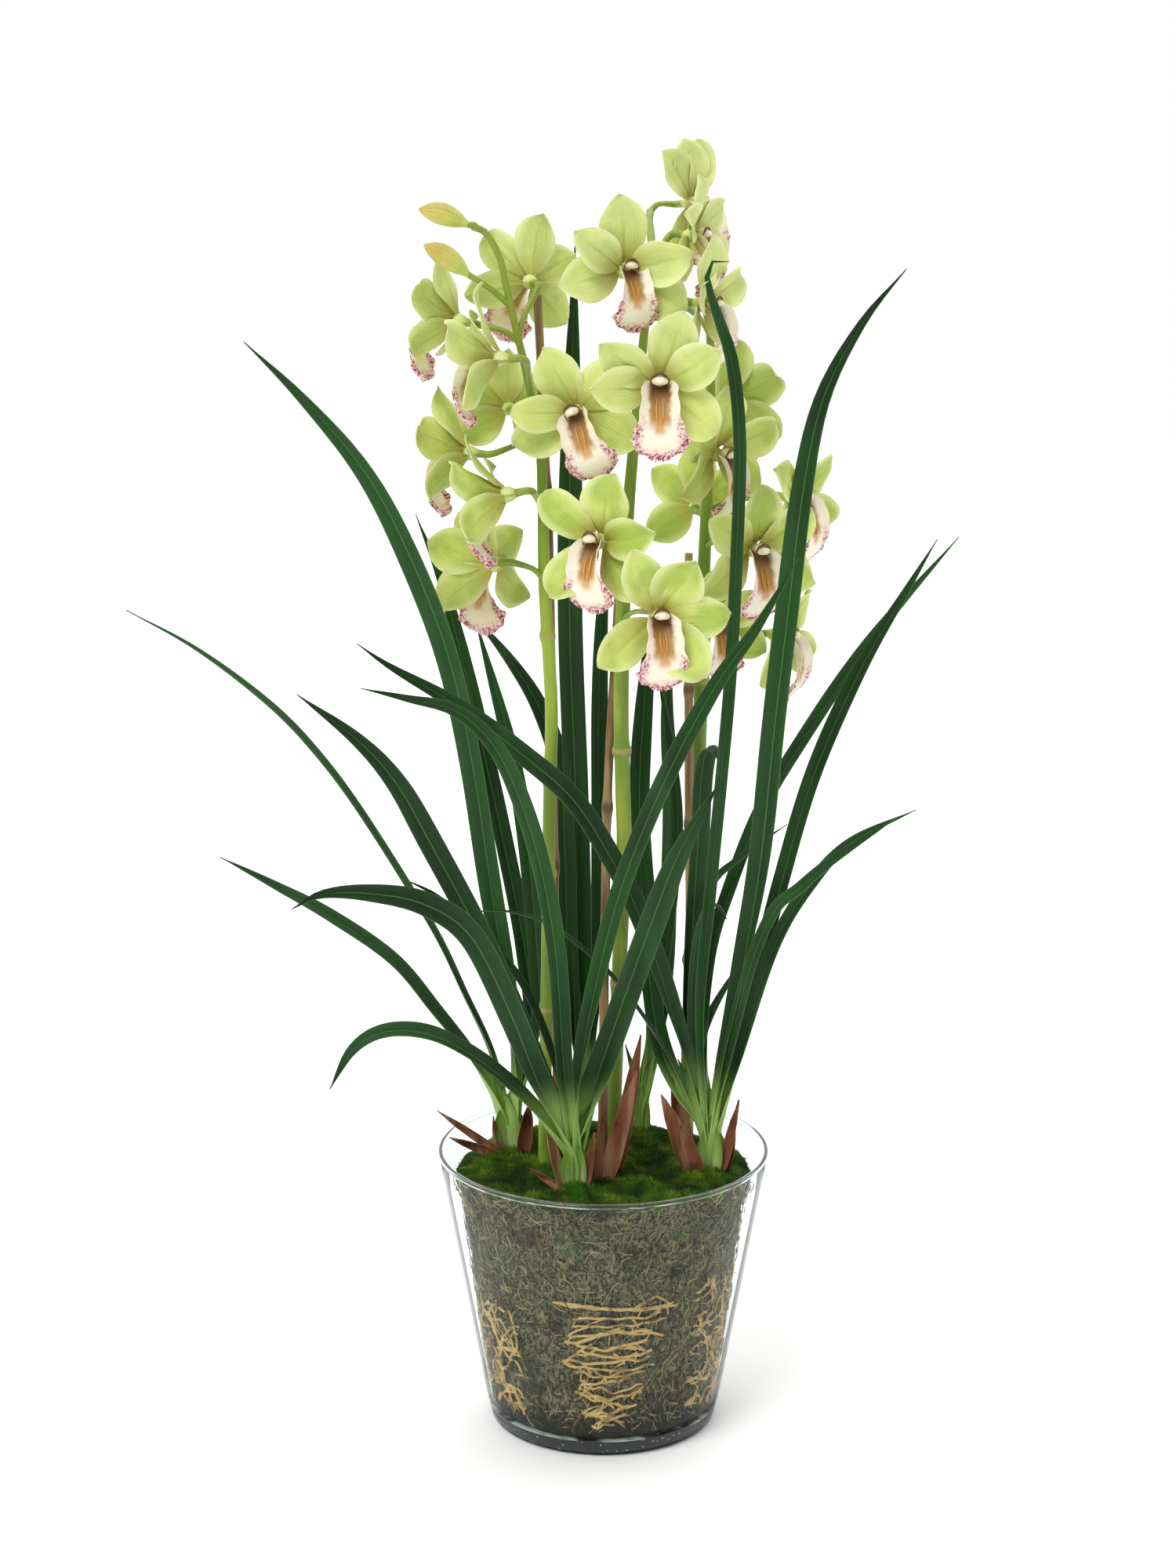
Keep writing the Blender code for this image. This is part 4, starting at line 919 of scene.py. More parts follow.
def moss_bed():
    """Closed bed of cushions from its middle to its skirt on the filling."""
    points = [(0.0, 0.0, moss_height(0.0, 0.0))]
    turns = [math.tau * k / MOSS_SIDES for k in range(MOSS_SIDES)]
    for ring in range(1, MOSS_RINGS + 1):
        for turn in turns:
            uneven = 0.9 * lumps(*on_circle(60.0, turn, ring), 5.0)
            x, y, _ = on_circle(MOSS_RADIUS * ring / MOSS_RINGS + uneven, turn, 0.0)
            points.append((x, y, moss_height(x, y)))
    points += [on_circle(MOSS_RADIUS - 4.0, turn, SOIL_TOP - 2.0) for turn in turns]
    faces = []
    for k in range(MOSS_SIDES):
        following = (k + 1) % MOSS_SIDES
        faces.append((0, 1 + k, 1 + following))
        for ring in range(MOSS_RINGS):
            a = 1 + ring * MOSS_SIDES + k
            b = 1 + ring * MOSS_SIDES + following
            faces.append((a, a + MOSS_SIDES, b + MOSS_SIDES, b))
    # The bed takes a fifth of the painted light, as painted shade deep in the moss.
    return Shape(points, faces, marks=[0.2 * moss_painted_light(x, y) for x, y, _ in points])


def moss_tufts(draw, count, longest):
    """Small pointed shoots that stand all over the moss and lean out at its edge."""
    points = []
    faces = []
    marks = []
    for _ in range(count):
        radius = MOSS_RADIUS * math.sqrt(draw.random())
        turn = draw.uniform(0.0, math.tau)
        x = radius * math.cos(turn)
        y = radius * math.sin(turn)
        edge = ease((radius - 78.0) / 16.0)
        lean = Vector((x, y, 0.0)).normalized() * edge * 0.9 + UP * (1.1 - 0.5 * edge)
        lean += Vector((draw.gauss(0.0, 0.4), draw.gauss(0.0, 0.4), 0.0))
        lean.normalize()
        length = longest * draw.uniform(0.4, 1.0) * (1.0 - 0.25 * edge)
        side = lean.cross(Vector((math.cos(turn * 7.0), math.sin(turn * 7.0), 0.1))).normalized()
        other = lean.cross(side)
        foot = Vector((x, y, moss_height(x, y) - 1.0))
        first = len(points)
        for corner in range(3):
            swing = math.tau * corner / 3.0
            points.append(foot + (side * math.cos(swing) + other * math.sin(swing)) * 0.42)
        points.append(foot + lean * length)
        light = moss_painted_light(x, y)
        # A tuft's feet get painted shade, and its tip gets the painted light of its place.
        marks += [0.1 * light, 0.1 * light, 0.1 * light, light]
        for corner in range(3):
            faces.append((first + corner, first + (corner + 1) % 3, first + 3))
    return Shape(points, faces, marks=marks)


class BuildMoss(bpy.types.Operator):
    """Build the moss cushions over the filling"""

    bl_idname = "planting.moss"
    bl_label = "Moss"

    def execute(self, context):
        filling = settings().filling
        tufts = moss_tufts(random.Random(11), filling.tufts, filling.tuft_length / MM)
        piece("moss_cushions", join([moss_bed(), tufts]), [moss_green()], ("moss",), 180.0)
        return {"FINISHED"}


# Leaf fans

FOLD_BASE = 58.0
FOLD_TIP = 24.0
LEAF_TAPER = 0.66
# A blade has turned from the azimuth of its base to its own over this share of its length.
LEAF_TURN = 0.45
# Width of a blade as a share of its own, by height, where its base clasps the fan.
BASE_WIDTHS = ((164.0, 0.35), (176.0, 0.85), (192.0, 1.25), (208.0, 1.3), (232.0, 1.12), (270.0, 1.0),
               (900.0, 1.0))
FOOT_HEIGHT = 165.0
FOOT_SPREAD = 0.3
SCALE_WIDTHS = ((0.0, 0.55), (0.12, 0.95), (0.32, 1.12), (0.6, 0.8), (0.85, 0.32), (1.0, 0.03))
# Feet of the fans and, for each, its pale scales: the way a scale leans, how
# far its tip stands out, the height of its tip and its width.
FANS = (
    ("left", ((-62.5, 35.0),),
     ((-80.0, 20.0, 240.0, 25.0), (80.0, 13.0, 232.0, 25.0), (-30.0, 7.0, 216.0, 24.0))),
    ("front", ((-18.5, -32.0),),
     ((-84.0, 18.0, 238.0, 23.0), (84.0, 15.0, 236.0, 23.0), (-50.0, 9.0, 216.0, 21.0),
      (50.0, 8.0, 208.0, 22.0))),
    ("right", ((69.0, -3.0),),
     ((-84.0, 20.0, 246.0, 24.0), (84.0, 14.0, 240.0, 22.0), (-50.0, 10.0, 222.0, 22.0),
      (50.0, 7.0, 212.0, 20.0))),
    ("back", ((-14.0, 62.0), (26.0, 71.0)),
     ((-80.0, 10.0, 232.0, 15.0), (80.0, 10.0, 236.0, 15.0), (180.0, 5.0, 216.0, 14.0))),
)

# Each leaf: width, azimuth of its upper face at the base and further up, how
# far that face looks up, and the route of its midrib. A last pair is where its
# tip starts to bend over and the elevation its face has turned to at the end.
LEFT_LEAVES = (
    (17.0, 80.0, -20.0, 12.0, ((-61, 33, 186), (-60, 24, 242), (-64, 15, 292), (-70, 4, 343),
                               (-82, -10, 440), (-97, -20, 515), (-121, -30, 582), (-146, -40, 632),
                               (-181, -48, 676), (-215, -56, 711))),
    (9.0, 70.0, 60.0, 40.0, ((-64, 36, 186), (-74, 38, 233), (-92, 40, 275), (-114, 44, 322),
                             (-157, 50, 393), (-187, 54, 434), (-217, 58, 465), (-262, 64, 499),
                             (-307, 66, 525))),
    (12.0, 80.0, 30.0, 45.0, ((-65, 33, 186), (-84, 22, 232), (-109, 10, 273), (-135, -4, 311),
                              (-173, -22, 345), (-206, -36, 369), (-238, -48, 391))),
    (14.0, -80.0, 25.0, 8.0, ((-59, 38, 188), (-46, 46, 250), (-51, 52, 299), (-63, 58, 361),
                              (-76, 62, 423), (-101, 76, 529), (-121, 86, 584))),
    (13.0, -80.0, -20.0, 8.0, ((-58, 34, 188), (-42, 35, 251), (-42, 34, 295), (-49, 33, 380),
                               (-59, 35, 441), (-82, 50, 523))),
)
FRONT_LEAVES = (
    (17.0, 80.0, 10.0, 20.0, ((-22, -32, 188), (-40, -38, 241), (-57, -46, 290), (-78, -56, 344),
                              (-107, -66, 405), (-127, -72, 444), (-150, -76, 472), (-186, -78, 501))),
    (14.0, 80.0, 20.0, 55.0, ((-23, -34, 186), (-40, -44, 217), (-59, -58, 245), (-83, -72, 270),
                              (-109, -86, 288), (-135, -98, 293), (-154, -106, 284), (-168, -112, 261))),
    (18.0, 80.0, 0.0, 30.0, ((-22, -37, 189), (-40, -52, 240), (-59, -66, 297), (-82, -80, 349),
                             (-110, -92, 373), (-143, -100, 382), (-171, -106, 383), (-189, -110, 375))),
    (7.0, 80.0, 40.0, 30.0, ((-20, -31, 187), (-33, -24, 253), (-52, -22, 301), (-74, -28, 329),
                             (-103, -36, 361), (-126, -42, 376))),
    (14.0, 0.0, 20.0, 25.0, ((-18, -34, 189), (-25, -44, 247), (-30, -50, 327), (-39, -54, 384),
                             (-52, -58, 430), (-68, -60, 465), (-91, -62, 487), (-120, -64, 495),
                             (-148, -66, 502))),
    (13.0, -70.0, -10.0, 15.0, ((-17, -37, 189), (-14, -48, 255), (-3, -56, 319), (12, -62, 379),
                                (38, -72, 448), (68, -80, 508), (91, -86, 543), (115, -94, 587))),
    (19.0, -80.0, 10.0, 5.0, ((-15, -31, 187), (-6, -34, 234), (10, -38, 288), (29, -42, 345),
                              (46, -46, 392), (70, -48, 437))),
)
RIGHT_LEAVES = (
    (15.0, 80.0, 10.0, 25.0, ((63, -6, 190), (51, -8, 249), (38, -14, 298), (21, -22, 349),
                              (2, -28, 389), (-20, -34, 425), (-49, -40, 453), (-88, -45, 485),
                              (-131, -50, 512), (-151, -52, 527))),
    (7.0, 80.0, 60.0, 60.0, ((63, -1, 190), (47, -4, 233), (32, -10, 264), (10, -18, 298),
                             (-12, -21, 322), (-37, -20, 340), (-60, -18, 347), (-82, -16, 347))),
    (14.0, 80.0, 20.0, 8.0, ((64, 2, 190), (47, 4, 222), (35, 6, 257), (29, 12, 298),
                             (25, 18, 343), (23, 24, 389))),
    (12.0, 80.0, 45.0, 5.0, ((67, 0, 190), (57, 5, 252), (57, 8, 298), (61, 6, 332),
                             (66, 2, 346), (73, -5, 348), (78, -10, 340)), (0.78, -140.0)),
    (16.0, 20.0, 30.0, 0.0, ((68, 2, 192), (57, 14, 249), (57, 19, 315), (60, 22, 377), (62, 21, 424),
                             (65, 17, 443), (70, 9, 449), (75, 1, 443), (77, -3, 428)), (0.84, -140.0)),
    (9.0, -40.0, 15.0, 5.0, ((68, -8, 192), (62, -14, 279), (67, -24, 364), (72, -34, 432),
                             (77, -42, 503), (80, -47, 582), (81, -50, 650), (76, -50, 698),
                             (67, -48, 726), (62, -48, 742), (61, -49, 753), (66, -50, 759), (74, -51, 758)),
     (0.86, 5.0)),
    (17.0, -80.0, -25.0, 8.0, ((73, -8, 192), (79, -16, 249), (88, -24, 309), (98, -36, 384),
                               (105, -46, 472), (112, -54, 547), (120, -60, 625), (131, -62, 679),
                               (153, -64, 723), (178, -66, 755))),
    (13.0, -80.0, -30.0, 15.0, ((74, -2, 192), (85, 6, 234), (99, 14, 292), (115, 24, 355),
                                (136, 36, 425), (166, 50, 491), (194, 60, 538), (214, 68, 571))),
    (12.0, -60.0, -40.0, 20.0, ((70, 3, 192), (67, 12, 249), (71, 24, 308), (83, 36, 348),
                                (102, 50, 394), (128, 64, 436), (174, 86, 500), (232, 106, 566))),
    (10.0, -80.0, -20.0, 35.0, ((75, -5, 192), (84, -14, 235), (97, -26, 294), (111, -38, 339),
                                (129, -50, 374), (152, -62, 404), (190, -78, 429))),
    (9.0, -60.0, -10.0, 35.0, ((70, -8, 192), (89, -30, 301), (105, -48, 354), (121, -60, 374),
                               (140, -72, 395), (178, -94, 429))),
    (7.0, -40.0, -30.0, 30.0, ((67, 5, 190), (60, 11, 264), (60, 14, 316), (69, 22, 352),
                               (87, 32, 368), (119, 46, 388))),
    (7.0, -40.0, -30.0, 30.0, ((66, 1, 190), (62, 6, 237), (68, 14, 265), (90, 34, 300))),
)
BACK_LEAVES = (
    (18.0, 0.0, 10.0, 5.0, ((-14, 63, 190), (-14, 68, 276), (-18, 75, 400), (-22, 79, 520),
                            (-21, 79, 640), (-18, 76, 759))),
    (13.0, -20.0, 20.0, 5.0, ((-12, 66, 190), (-4, 82, 298), (-3, 90, 378), (-3, 98, 456),
                              (-1, 106, 518), (6, 116, 584))),
    (15.0, 60.0, 15.0, 15.0, ((-16, 63, 190), (-23, 64, 279), (-25, 68, 359), (-29, 74, 419),
                              (-42, 84, 457), (-62, 96, 487), (-88, 110, 516))),
    (15.0, 0.0, 0.0, 5.0, ((24, 70, 190), (34, 75, 235), (32, 80, 290), (26, 86, 352),
                           (24, 90, 404), (29, 96, 482), (36, 104, 540))),
    (9.0, 0.0, -20.0, 5.0, ((27, 69, 190), (38, 72, 270), (46, 72, 333), (49, 72, 385),
                            (44, 76, 435), (35, 84, 483))),
    (14.0, -20.0, 30.0, 5.0, ((28, 73, 190), (40, 92, 268), (43, 106, 336), (44, 118, 392),
                              (42, 132, 447), (46, 150, 505))),
)


def leaf_width(share, taper):
    """Share of the full width along a leaf that narrows from the taper on."""
    rising = mix(0.75, 1.0, ease(share / 0.3))
    falling = 1.0 - max(0.0, (share - taper) / (1.0 - taper)) ** 1.9
    return max(rising * falling, 0.03)


def blade(feet, tone, width, base_azimuth, azimuth, elevation, route, fold=None):
    """Strap leaf, creased along its midrib, tapered to a point and clasping its fan's foot."""
    leaf = settings().leaf
    start = Vector(route[0])
    foot = min((Vector((x, y, FOOT_HEIGHT)) for x, y in feet), key=lambda place: (place.xy - start.xy).length)
    foot += Vector(((start.x - foot.x) * FOOT_SPREAD, (start.y - foot.y) * FOOT_SPREAD, 0.0))
    bend, final = fold or (LEAF_TAPER, elevation)
    rows = []
    for share, point, way in along(smooth_path((foot, *route), leaf.rows)):
        turn = ease(share / LEAF_TURN)
        lift = mix(elevation, final, ease((share - bend) / (1.0 - bend)))
        face = direction(mix(base_azimuth, azimuth, turn), lift)
        normal = (face - way * face.dot(way)).normalized()
        side = way.cross(normal)
        half = width / 2.0 * leaf_width(share, bend) * outline(BASE_WIDTHS, point.z)
        crease = math.radians(mix(FOLD_BASE, FOLD_TIP, turn))
        row = []
        for t in span(5):
            out = half * t * math.cos(crease)
            rise = half * math.sin(crease) * (math.sqrt(t * t + 0.012) - 0.11)
            rise += 0.07 * half * math.sin(math.pi * abs(t))
            row.append(point + side * out + normal * rise)
        rows.append(row)
    shape = sheet(rows, leaf.thickness / MM)
    shape.marks[:] = tone
    return shape


def fan_scale(foot, azimuth, out, high, width):
    """Short pale pointed scale that clasps the foot of a fan."""
    away = direction(azimuth)
    rise = UP * (high - FOOT_HEIGHT)
    start = Vector((*foot, FOOT_HEIGHT - 1.0)) + away * 1.2
    rows = []
    for share, point, way in along(smooth_path((start, start + away * out * 0.42 + rise * 0.5,
                                                start + away * out + rise), 24)):
        normal = (-away + way * away.dot(way)).normalized()
        side = way.cross(normal)
        half = width / 2.0 * outline(SCALE_WIDTHS, share)
        row = []
        for t in span(5):
            keel = 1.05 * (math.sqrt(t * t + 0.02) - 0.14)
            row.append(point + side * half * 0.72 * t + normal * half * keel)
        rows.append(row)
    return sheet(rows, 0.8, 1)


def scale_green():
    """Pale green of the fans' scales, green towards the tip, whiter at the keel, partly a painted highlight,
    and with painted shade at the edges.
    """
    leaf = settings().leaf
    made = Finish("scale_green", Roughness=0.42, Specular_IOR_Level=0.3)
    u, v, _ = made.split(made.uv)
    ribs = made.sine(u * 150.0)
    patches = made.noise(60.0, 2.0, (1.0, 1.0, 0.3))
    body = made.blend(made.step(patches, 0.36, 0.64), leaf.base, colour(136, 182, 76))
    body = made.blend(made.step(v, 0.34, 0.02) * 0.8, body, colour(206, 220, 150))
    # Partly a painted highlight: the keel is whiter where the fold catches the light.
    body = made.blend(made.step(abs(u - 0.5), 0.10, 0.0) * 0.5, body, colour(196, 216, 140))
    # Painted shade: the scale's edges are darker.
    body = made.blend(made.step(abs(u - 0.5), 0.36, 0.5) * 0.5, body, colour(64, 116, 40))
    body = made.blend(made.step(v, 0.42, 0.95), body, colour(36, 84, 26))
    made.set(Base_Color=made.blend(made.step(ribs, 0.0, 1.0) * 0.18, body, colour(84, 130, 46)))
    made.bump(ribs, 0.15, 0.5)
    return made.material


def leaf_green():
    leaf = settings().leaf
    made = Finish("leaf_green", Roughness=0.4, Specular_IOR_Level=0.22)
    u, _, _ = made.split(made.uv)
    _, _, height = made.split(made.place)
    across = abs(u - 0.5) * 2.0
    ribs = made.sine(u * 190.0)
    streaks = made.noise(26.0, 3.0, (1.0, 1.0, 0.07))
    patches = made.noise(8.0, 2.0)
    body = made.blend(made.step(patches, 0.36, 0.66), leaf.green, leaf.shade)
    body = made.blend(made.mark() * 0.5, body, colour(44, 94, 40))
    # Painted sheen: streaks of grey-green highlight on the blades.
    body = made.blend(made.step(streaks, 0.50, 0.74) * 0.5, body, leaf.sheen)
    body = made.blend(made.step(ribs, 0.0, 1.0) * 0.12, body, colour(96, 140, 84))
    body = made.blend(made.step(across, 0.09, 0.02) * 0.5, body, colour(104, 146, 84))
    body = made.blend(made.step(across, 0.92, 1.0) * 0.35, body, colour(110, 150, 86))
    fresh = made.step(height + made.noise(14.0, 1.0) * 0.04, 0.272, 0.222)
    made.set(Base_Color=made.blend(fresh * 0.95, body, leaf.base))
    made.set(Roughness=made.noise(40.0, 2.0) * 0.14 + 0.32)
    made.bump(ribs * made.step(across, 1.0, 0.9) + made.step(across, 0.12, 0.0) * -2.0, 0.10, 0.6)
    return made.material


class BuildFans(bpy.types.Operator):
    """Build the four fans of strap leaves"""

    bl_idname = "planting.fans"
    bl_label = "Leaf fans"

    def execute(self, context):
        finishes = [leaf_green(), scale_green()]
        draw = random.Random(23)
        leaves = {"left": LEFT_LEAVES, "front": FRONT_LEAVES, "right": RIGHT_LEAVES, "back": BACK_LEAVES}
        for side, feet, scales in FANS:
            shapes = [blade(feet, draw.random() ** 1.5, *leaf) for leaf in leaves[side]]
            for foot in feet:
                shapes += [fan_scale(foot, *scale) for scale in scales]
            piece(f"leaves_{side}", join(shapes), finishes, (f"fan_{side}",))
        return {"FINISHED"}


# Dry sheaths

# Each bract: the fan it clasps, its foot, its tip, its width and the azimuth of its hollow side.
BRACTS = (
    ("left", (-66.0, 27.0, 168.0), (-108.0, 10.0, 205.0), 6.0, 20.0),
    ("left", (-68.0, 25.0, 168.0), (-100.0, 6.0, 188.0), 6.5, 30.0),
    ("left", (-54.0, 27.0, 167.0), (-48.0, 24.0, 206.0), 12.0, 30.0),
    ("left", (-66.0, 28.0, 167.0), (-72.0, 24.0, 196.0), 8.0, 60.0),
    ("front", (-26.0, -36.0, 167.0), (-36.0, -36.0, 214.0), 9.0, 40.0),
    ("front", (-23.0, -42.0, 167.0), (-47.0, -46.0, 186.0), 5.0, 10.0),
    ("front", (-12.0, -39.0, 167.0), (-6.0, -41.0, 208.0), 9.0, -40.0),
    ("middle", (2.0, -23.0, 167.0), (21.0, -23.0, 243.0), 13.0, -20.0),
    ("middle", (-4.0, -25.0, 167.0), (0.0, -26.0, 216.0), 6.0, 20.0),
    ("middle", (8.0, -8.0, 168.0), (24.0, -6.0, 262.0), 12.0, -10.0),
    ("right", (58.0, -8.0, 167.0), (37.0, -12.0, 224.0), 14.0, 20.0),
    ("right", (62.0, -13.0, 167.0), (49.0, -18.0, 206.0), 12.0, 30.0),
    ("right", (56.0, 3.0, 167.0), (44.0, 3.0, 230.0), 14.0, 30.0),
    ("right", (76.0, -9.0, 167.0), (87.0, -12.0, 220.0), 8.0, -30.0),
    ("right", (78.0, -4.0, 167.0), (85.0, -4.0, 200.0), 9.0, -20.0),
)
BRACT_WIDTHS = ((0.0, 0.75), (0.3, 1.0), (0.7, 0.72), (0.93, 0.25), (1.0, 0.04))
BRACT_WRAP = 68.0


def bract(foot, tip, width, azimuth):
    """Dry keeled sheath that clasps a fan and ends in a curled point."""
    foot = Vector(foot)
    tip = Vector(tip)
    hollow = direction(azimuth, 10.0)
    middle = foot.lerp(tip, 0.5) - hollow * 2.5
    rows = []
    for share, point, way in along(smooth_path((foot, middle, tip), 22)):
        normal = (hollow - way * hollow.dot(way)).normalized()
        side = way.cross(normal)
        half = width / 2.0 * outline(BRACT_WIDTHS, share)
        row = []
        for t in span(4):
            wrap = math.radians(BRACT_WRAP) * t
            curl = 0.8 * math.sin(share * 9.0 + t * 3.0) * share
            row.append(point + side * half * math.sin(wrap) + normal * (half * (1.0 - math.cos(wrap)) + curl))
        rows.append(row)
    return sheet(rows, 0.5)


def dry_sheath():
    leaf = settings().leaf
    made = Finish("dry_sheath", Roughness=0.62)
    u, _, _ = made.split(made.uv)
    fibres = made.noise(90.0, 4.0, (1.0, 1.0, 0.1))
    lines = made.sine(u * 110.0)
    patches = made.noise(60.0, 2.0)
    body = made.blend(made.step(patches, 0.46, 0.70), leaf.sheath, colour(98, 52, 34))
    body = made.blend(made.step(fibres, 0.46, 0.68) * 0.75, body, leaf.paper)
    body = made.blend(made.step(abs(u - 0.5) * 2.0, 0.80, 1.0) * 0.5, body, colour(178, 120, 88))
    made.set(Base_Color=body)
    made.bump(lines + fibres * 2.0, 0.25, 0.6)
    return made.material


class BuildSheaths(bpy.types.Operator):
    """Build the dry sheaths round the fans"""

    bl_idname = "planting.sheaths"
    bl_label = "Dry sheaths"

    def execute(self, context):
        brown = dry_sheath()
        for side in ("left", "front", "middle", "right"):
            shapes = [bract(*row[1:]) for row in BRACTS if row[0] == side]
            piece(f"dry_sheath_{side}", join(shapes), [brown], (f"sheath_{side}",))
        return {"FINISHED"}


# Canes and flower stems

CANE_RADIUS = 3.2
CANE_NODES = (0.36, 0.56, 0.78)
CANE_STEPS = 149
CANES = (
    ("cane_a", ((-29.0, 20.0, 62.0), (-31.0, 20.0, 300.0), (-34.0, 21.0, 560.0), (-37.0, 22.0, 640.0),
                (-41.0, 20.0, 731.0))),
    ("cane_b", ((-1.0, -16.0, 62.0), (0.0, -12.0, 240.0), (1.0, 2.0, 340.0), (3.0, 15.0, 426.0),
                (8.0, 19.0, 520.0), (12.0, 20.0, 600.0))),
    ("cane_c", ((54.0, 40.0, 62.0), (57.0, 42.0, 260.0), (55.0, 43.0, 430.0), (54.0, 43.0, 566.0))),
)


def cane(route):
    """Dry cane with a scarred ring at each joint."""
    path = smooth_path(route, CANE_STEPS + 1)
    radii = []
    marks = []
    for share, point in zip(shares(len(path)), path):
        near = min(abs(share - node) * CANE_STEPS for node in CANE_NODES)
        swell = 0.9 * math.exp(-near * near / 3.0)
        radius = CANE_RADIUS - 0.6 * share + swell + 0.12 * lumps(0.0, 0.0, point.z, 16.0)
        radii.append((radius, radius))
        marks.append(1.0 if near < 1.1 else 0.0)
    return tube(path, radii, 12, marks=marks)


def cane_tan():
    stem = settings().stem
    made = Finish("cane_tan", Roughness=0.55)
    _, _, height = made.split(made.place)
    streaks = made.noise(200.0, 4.0, (1.0, 1.0, 0.05))
    patches = made.noise(18.0, 3.0, (1.0, 1.0, 0.5))
    body = made.blend(made.step(streaks, 0.42, 0.66), stem.cane, stem.cane_dark)
    body = made.blend(made.step(patches, 0.48, 0.68) * 0.7, body, colour(196, 172, 122))
    body = made.blend(made.step(height, 0.34, 0.22) * 0.5, body, colour(118, 52, 36))
    made.set(Base_Color=made.blend(made.mark() * 0.6, body, colour(66, 46, 30)))
    made.bump(streaks, 0.3, 0.6)
    return made.material


class BuildCanes(bpy.types.Operator):
    """Build the dry canes beside the flower stems"""

    bl_idname = "planting.canes"
    bl_label = "Canes"

    def execute(self, context):
        tan = cane_tan()
        for name, route in CANES:
            lifted = ((route[0][0], route[0][1], SOIL_TOP), *route[1:])
            piece(f"dry_{name}", cane(lifted), [tan], (name,))
        return {"FINISHED"}


SPIKES = (
    {
        "name": "spike_a",
        "radius": 4.1,
        "route": ((-38, 3, 141), (-38, 3, 200), (-36, 4, 302), (-35, 5, 377), (-34, 5, 426), (-33, 6, 476),
                  (-37, 6, 551), (-38, 6, 600), (-40, 6, 644), (-48, 4, 686), (-54, 2, 712),
                  (-60, 0, 740), (-64, -2, 757), (-72, -4, 771), (-80, -6, 775)),
        "nodes": (276, 366, 428, 520),
    },
    {
        "name": "spike_b",
        "radius": 4.8,
        "route": ((7, 18, 141), (7, 18, 200), (10, 16, 292), (13, 12, 377), (12, 9, 426), (11, 6, 476),
                  (12, 4, 536), (15, 2, 600), (20, 0, 660), (25, 2, 715), (29, 10, 748), (29, 28, 765),
                  (28, 46, 774), (29, 62, 779)),
        "nodes": (290, 372, 446, 506),
    },
    {
        "name": "spike_c",
        "radius": 4.6,
        "route": ((56, 62, 141), (56, 62, 200), (58, 62, 300), (61, 60, 390), (63, 58, 476), (64, 54, 550),
                  (66, 50, 615), (67, 46, 685), (65, 42, 720), (61, 38, 745)),
        "nodes": (292, 392, 480),
    },
)

# Buds at the top of the first spike: where the stalk leaves the spike's stem,
# where the bud starts and its tip.
BUDS = (
    ((-76, -5, 773), (-82, -7, 776), (-112, -12, 786)),
    ((-57, 1, 726), (-82, -9, 746), (-109, -16, 765)),
)
BUD_RADII = ((0.0, 1.8), (0.08, 2.6), (0.25, 5.0), (0.48, 6.6), (0.68, 6.2), (0.85, 4.2), (0.95, 2.0),
             (1.0, 0.4))
BUD_SIDES = 24
BUD_KEEL = 0.07
STALK_RADII = ((0.0, 2.1), (0.3, 1.8), (0.7, 2.3), (1.0, 2.7))
STEM_SWELL = 0.2
STEM_SLIM_FROM = 480.0
STEM_SLIM_LENGTH = 280.0
STEM_TIP_SHARE = 0.52

# Each bloom: name, spike, size, hub, azimuth, elevation, roll of the lip, how
# far the tepals rise from flat, height where its stalk leaves the stem, and the
# angles of its five tepals seen from in front where they differ from the usual:
# upper sepal, right petal, left petal, right sepal, left sepal.
BLOOMS = (
    ("a1", 0, 0.92, (-46, 24, 739), -158, 8, 14, 20, 706, None),
    ("a2", 0, 0.95, (-90, 14, 716), -108, 8, 0, 30, 704, None),
    ("a3", 0, 1.0, (-64, -30, 698), -98, 2, 0, 28, 674, None),
    ("a4", 0, 0.95, (-84, 16, 634), -105, 0, 0, 30, 640, None),
    ("a5", 0, 1.0, (-60, -30, 615), -102, -10, 10, 28, 596, None),
    ("a6", 0, 1.0, (-68, 4, 566), -140, -12, 0, 28, 556, None),
    ("a7", 0, 0.85, (-60, 58, 656), -165, 0, 0, 16, 640, None),
    ("m1", 0, 1.0, (-16, -28, 665), -6, 2, 25, 20, 640, (115, 50, 178, -25, 211)),
    ("b1", 1, 1.0, (12, -22, 750), 4, 4, 0, 27, 728, (92, 15, 145, -36, 194)),
    ("b2", 1, 1.0, (33, -48, 684), 0, 4, 0, 23, 664, (72, 30, 148, -42, 184)),
    ("b3", 1, 1.0, (-2, -50, 590), -22, 2, 6, 20, 578, (75, 10, 142, -44, 230)),
    ("b4", 1, 1.0, (32, -70, 547), 4, 0, 0, 21, 530, (64, 2, 112, -52, 214)),
    ("c1", 1, 0.9, (54, 64, 784), 42, 6, 4, 6, 779, (100, 74, 126, -66, 246)),
    ("c2", 1, 0.85, (53, 12, 768), 62, 0, 0, 16, 748, None),
    ("c3", 2, 0.9, (59, -14, 729), 62, -4, 0, 16, 706, None),
    ("c4", 2, 0.95, (77, 58, 659), 140, 6, 0, 18, 645, None),
    ("c5", 2, 0.95, (69, 10, 634), 40, -6, 0, 14, 615, None),
    ("c6", 2, 0.95, (119, 55, 600), 60, 0, 0, 16, 590, None),
    ("c7", 2, 0.95, (92, -6, 577), 30, -4, 0, 14, 570, None),
    ("c8", 2, 0.95, (110, 34, 515), 68, -6, 0, 18, 530, None),
    ("c9", 2, 0.8, (71, 12, 529), 0, -6, 0, 14, 520, None),
    ("k1", 2, 0.9, (60, 84, 590), 170, 4, 0, 16, 585, None),
)
# Lips that differ: degrees they are turned from the way the bloom faces, and their size.
LIP_TURNS = {
    "m1": (-8.0, 0.94),
    "b1": (20.0, 0.84),
    "b3": (-12.0, 0.96),
    "b4": (8.0, 0.96),
    "c5": (14.0, 0.95),
    "c9": (20.0, 1.0),
}
# Blooms whose lip is hidden behind the tepals have none.
LIPLESS_BLOOMS = ("a7", "k1")


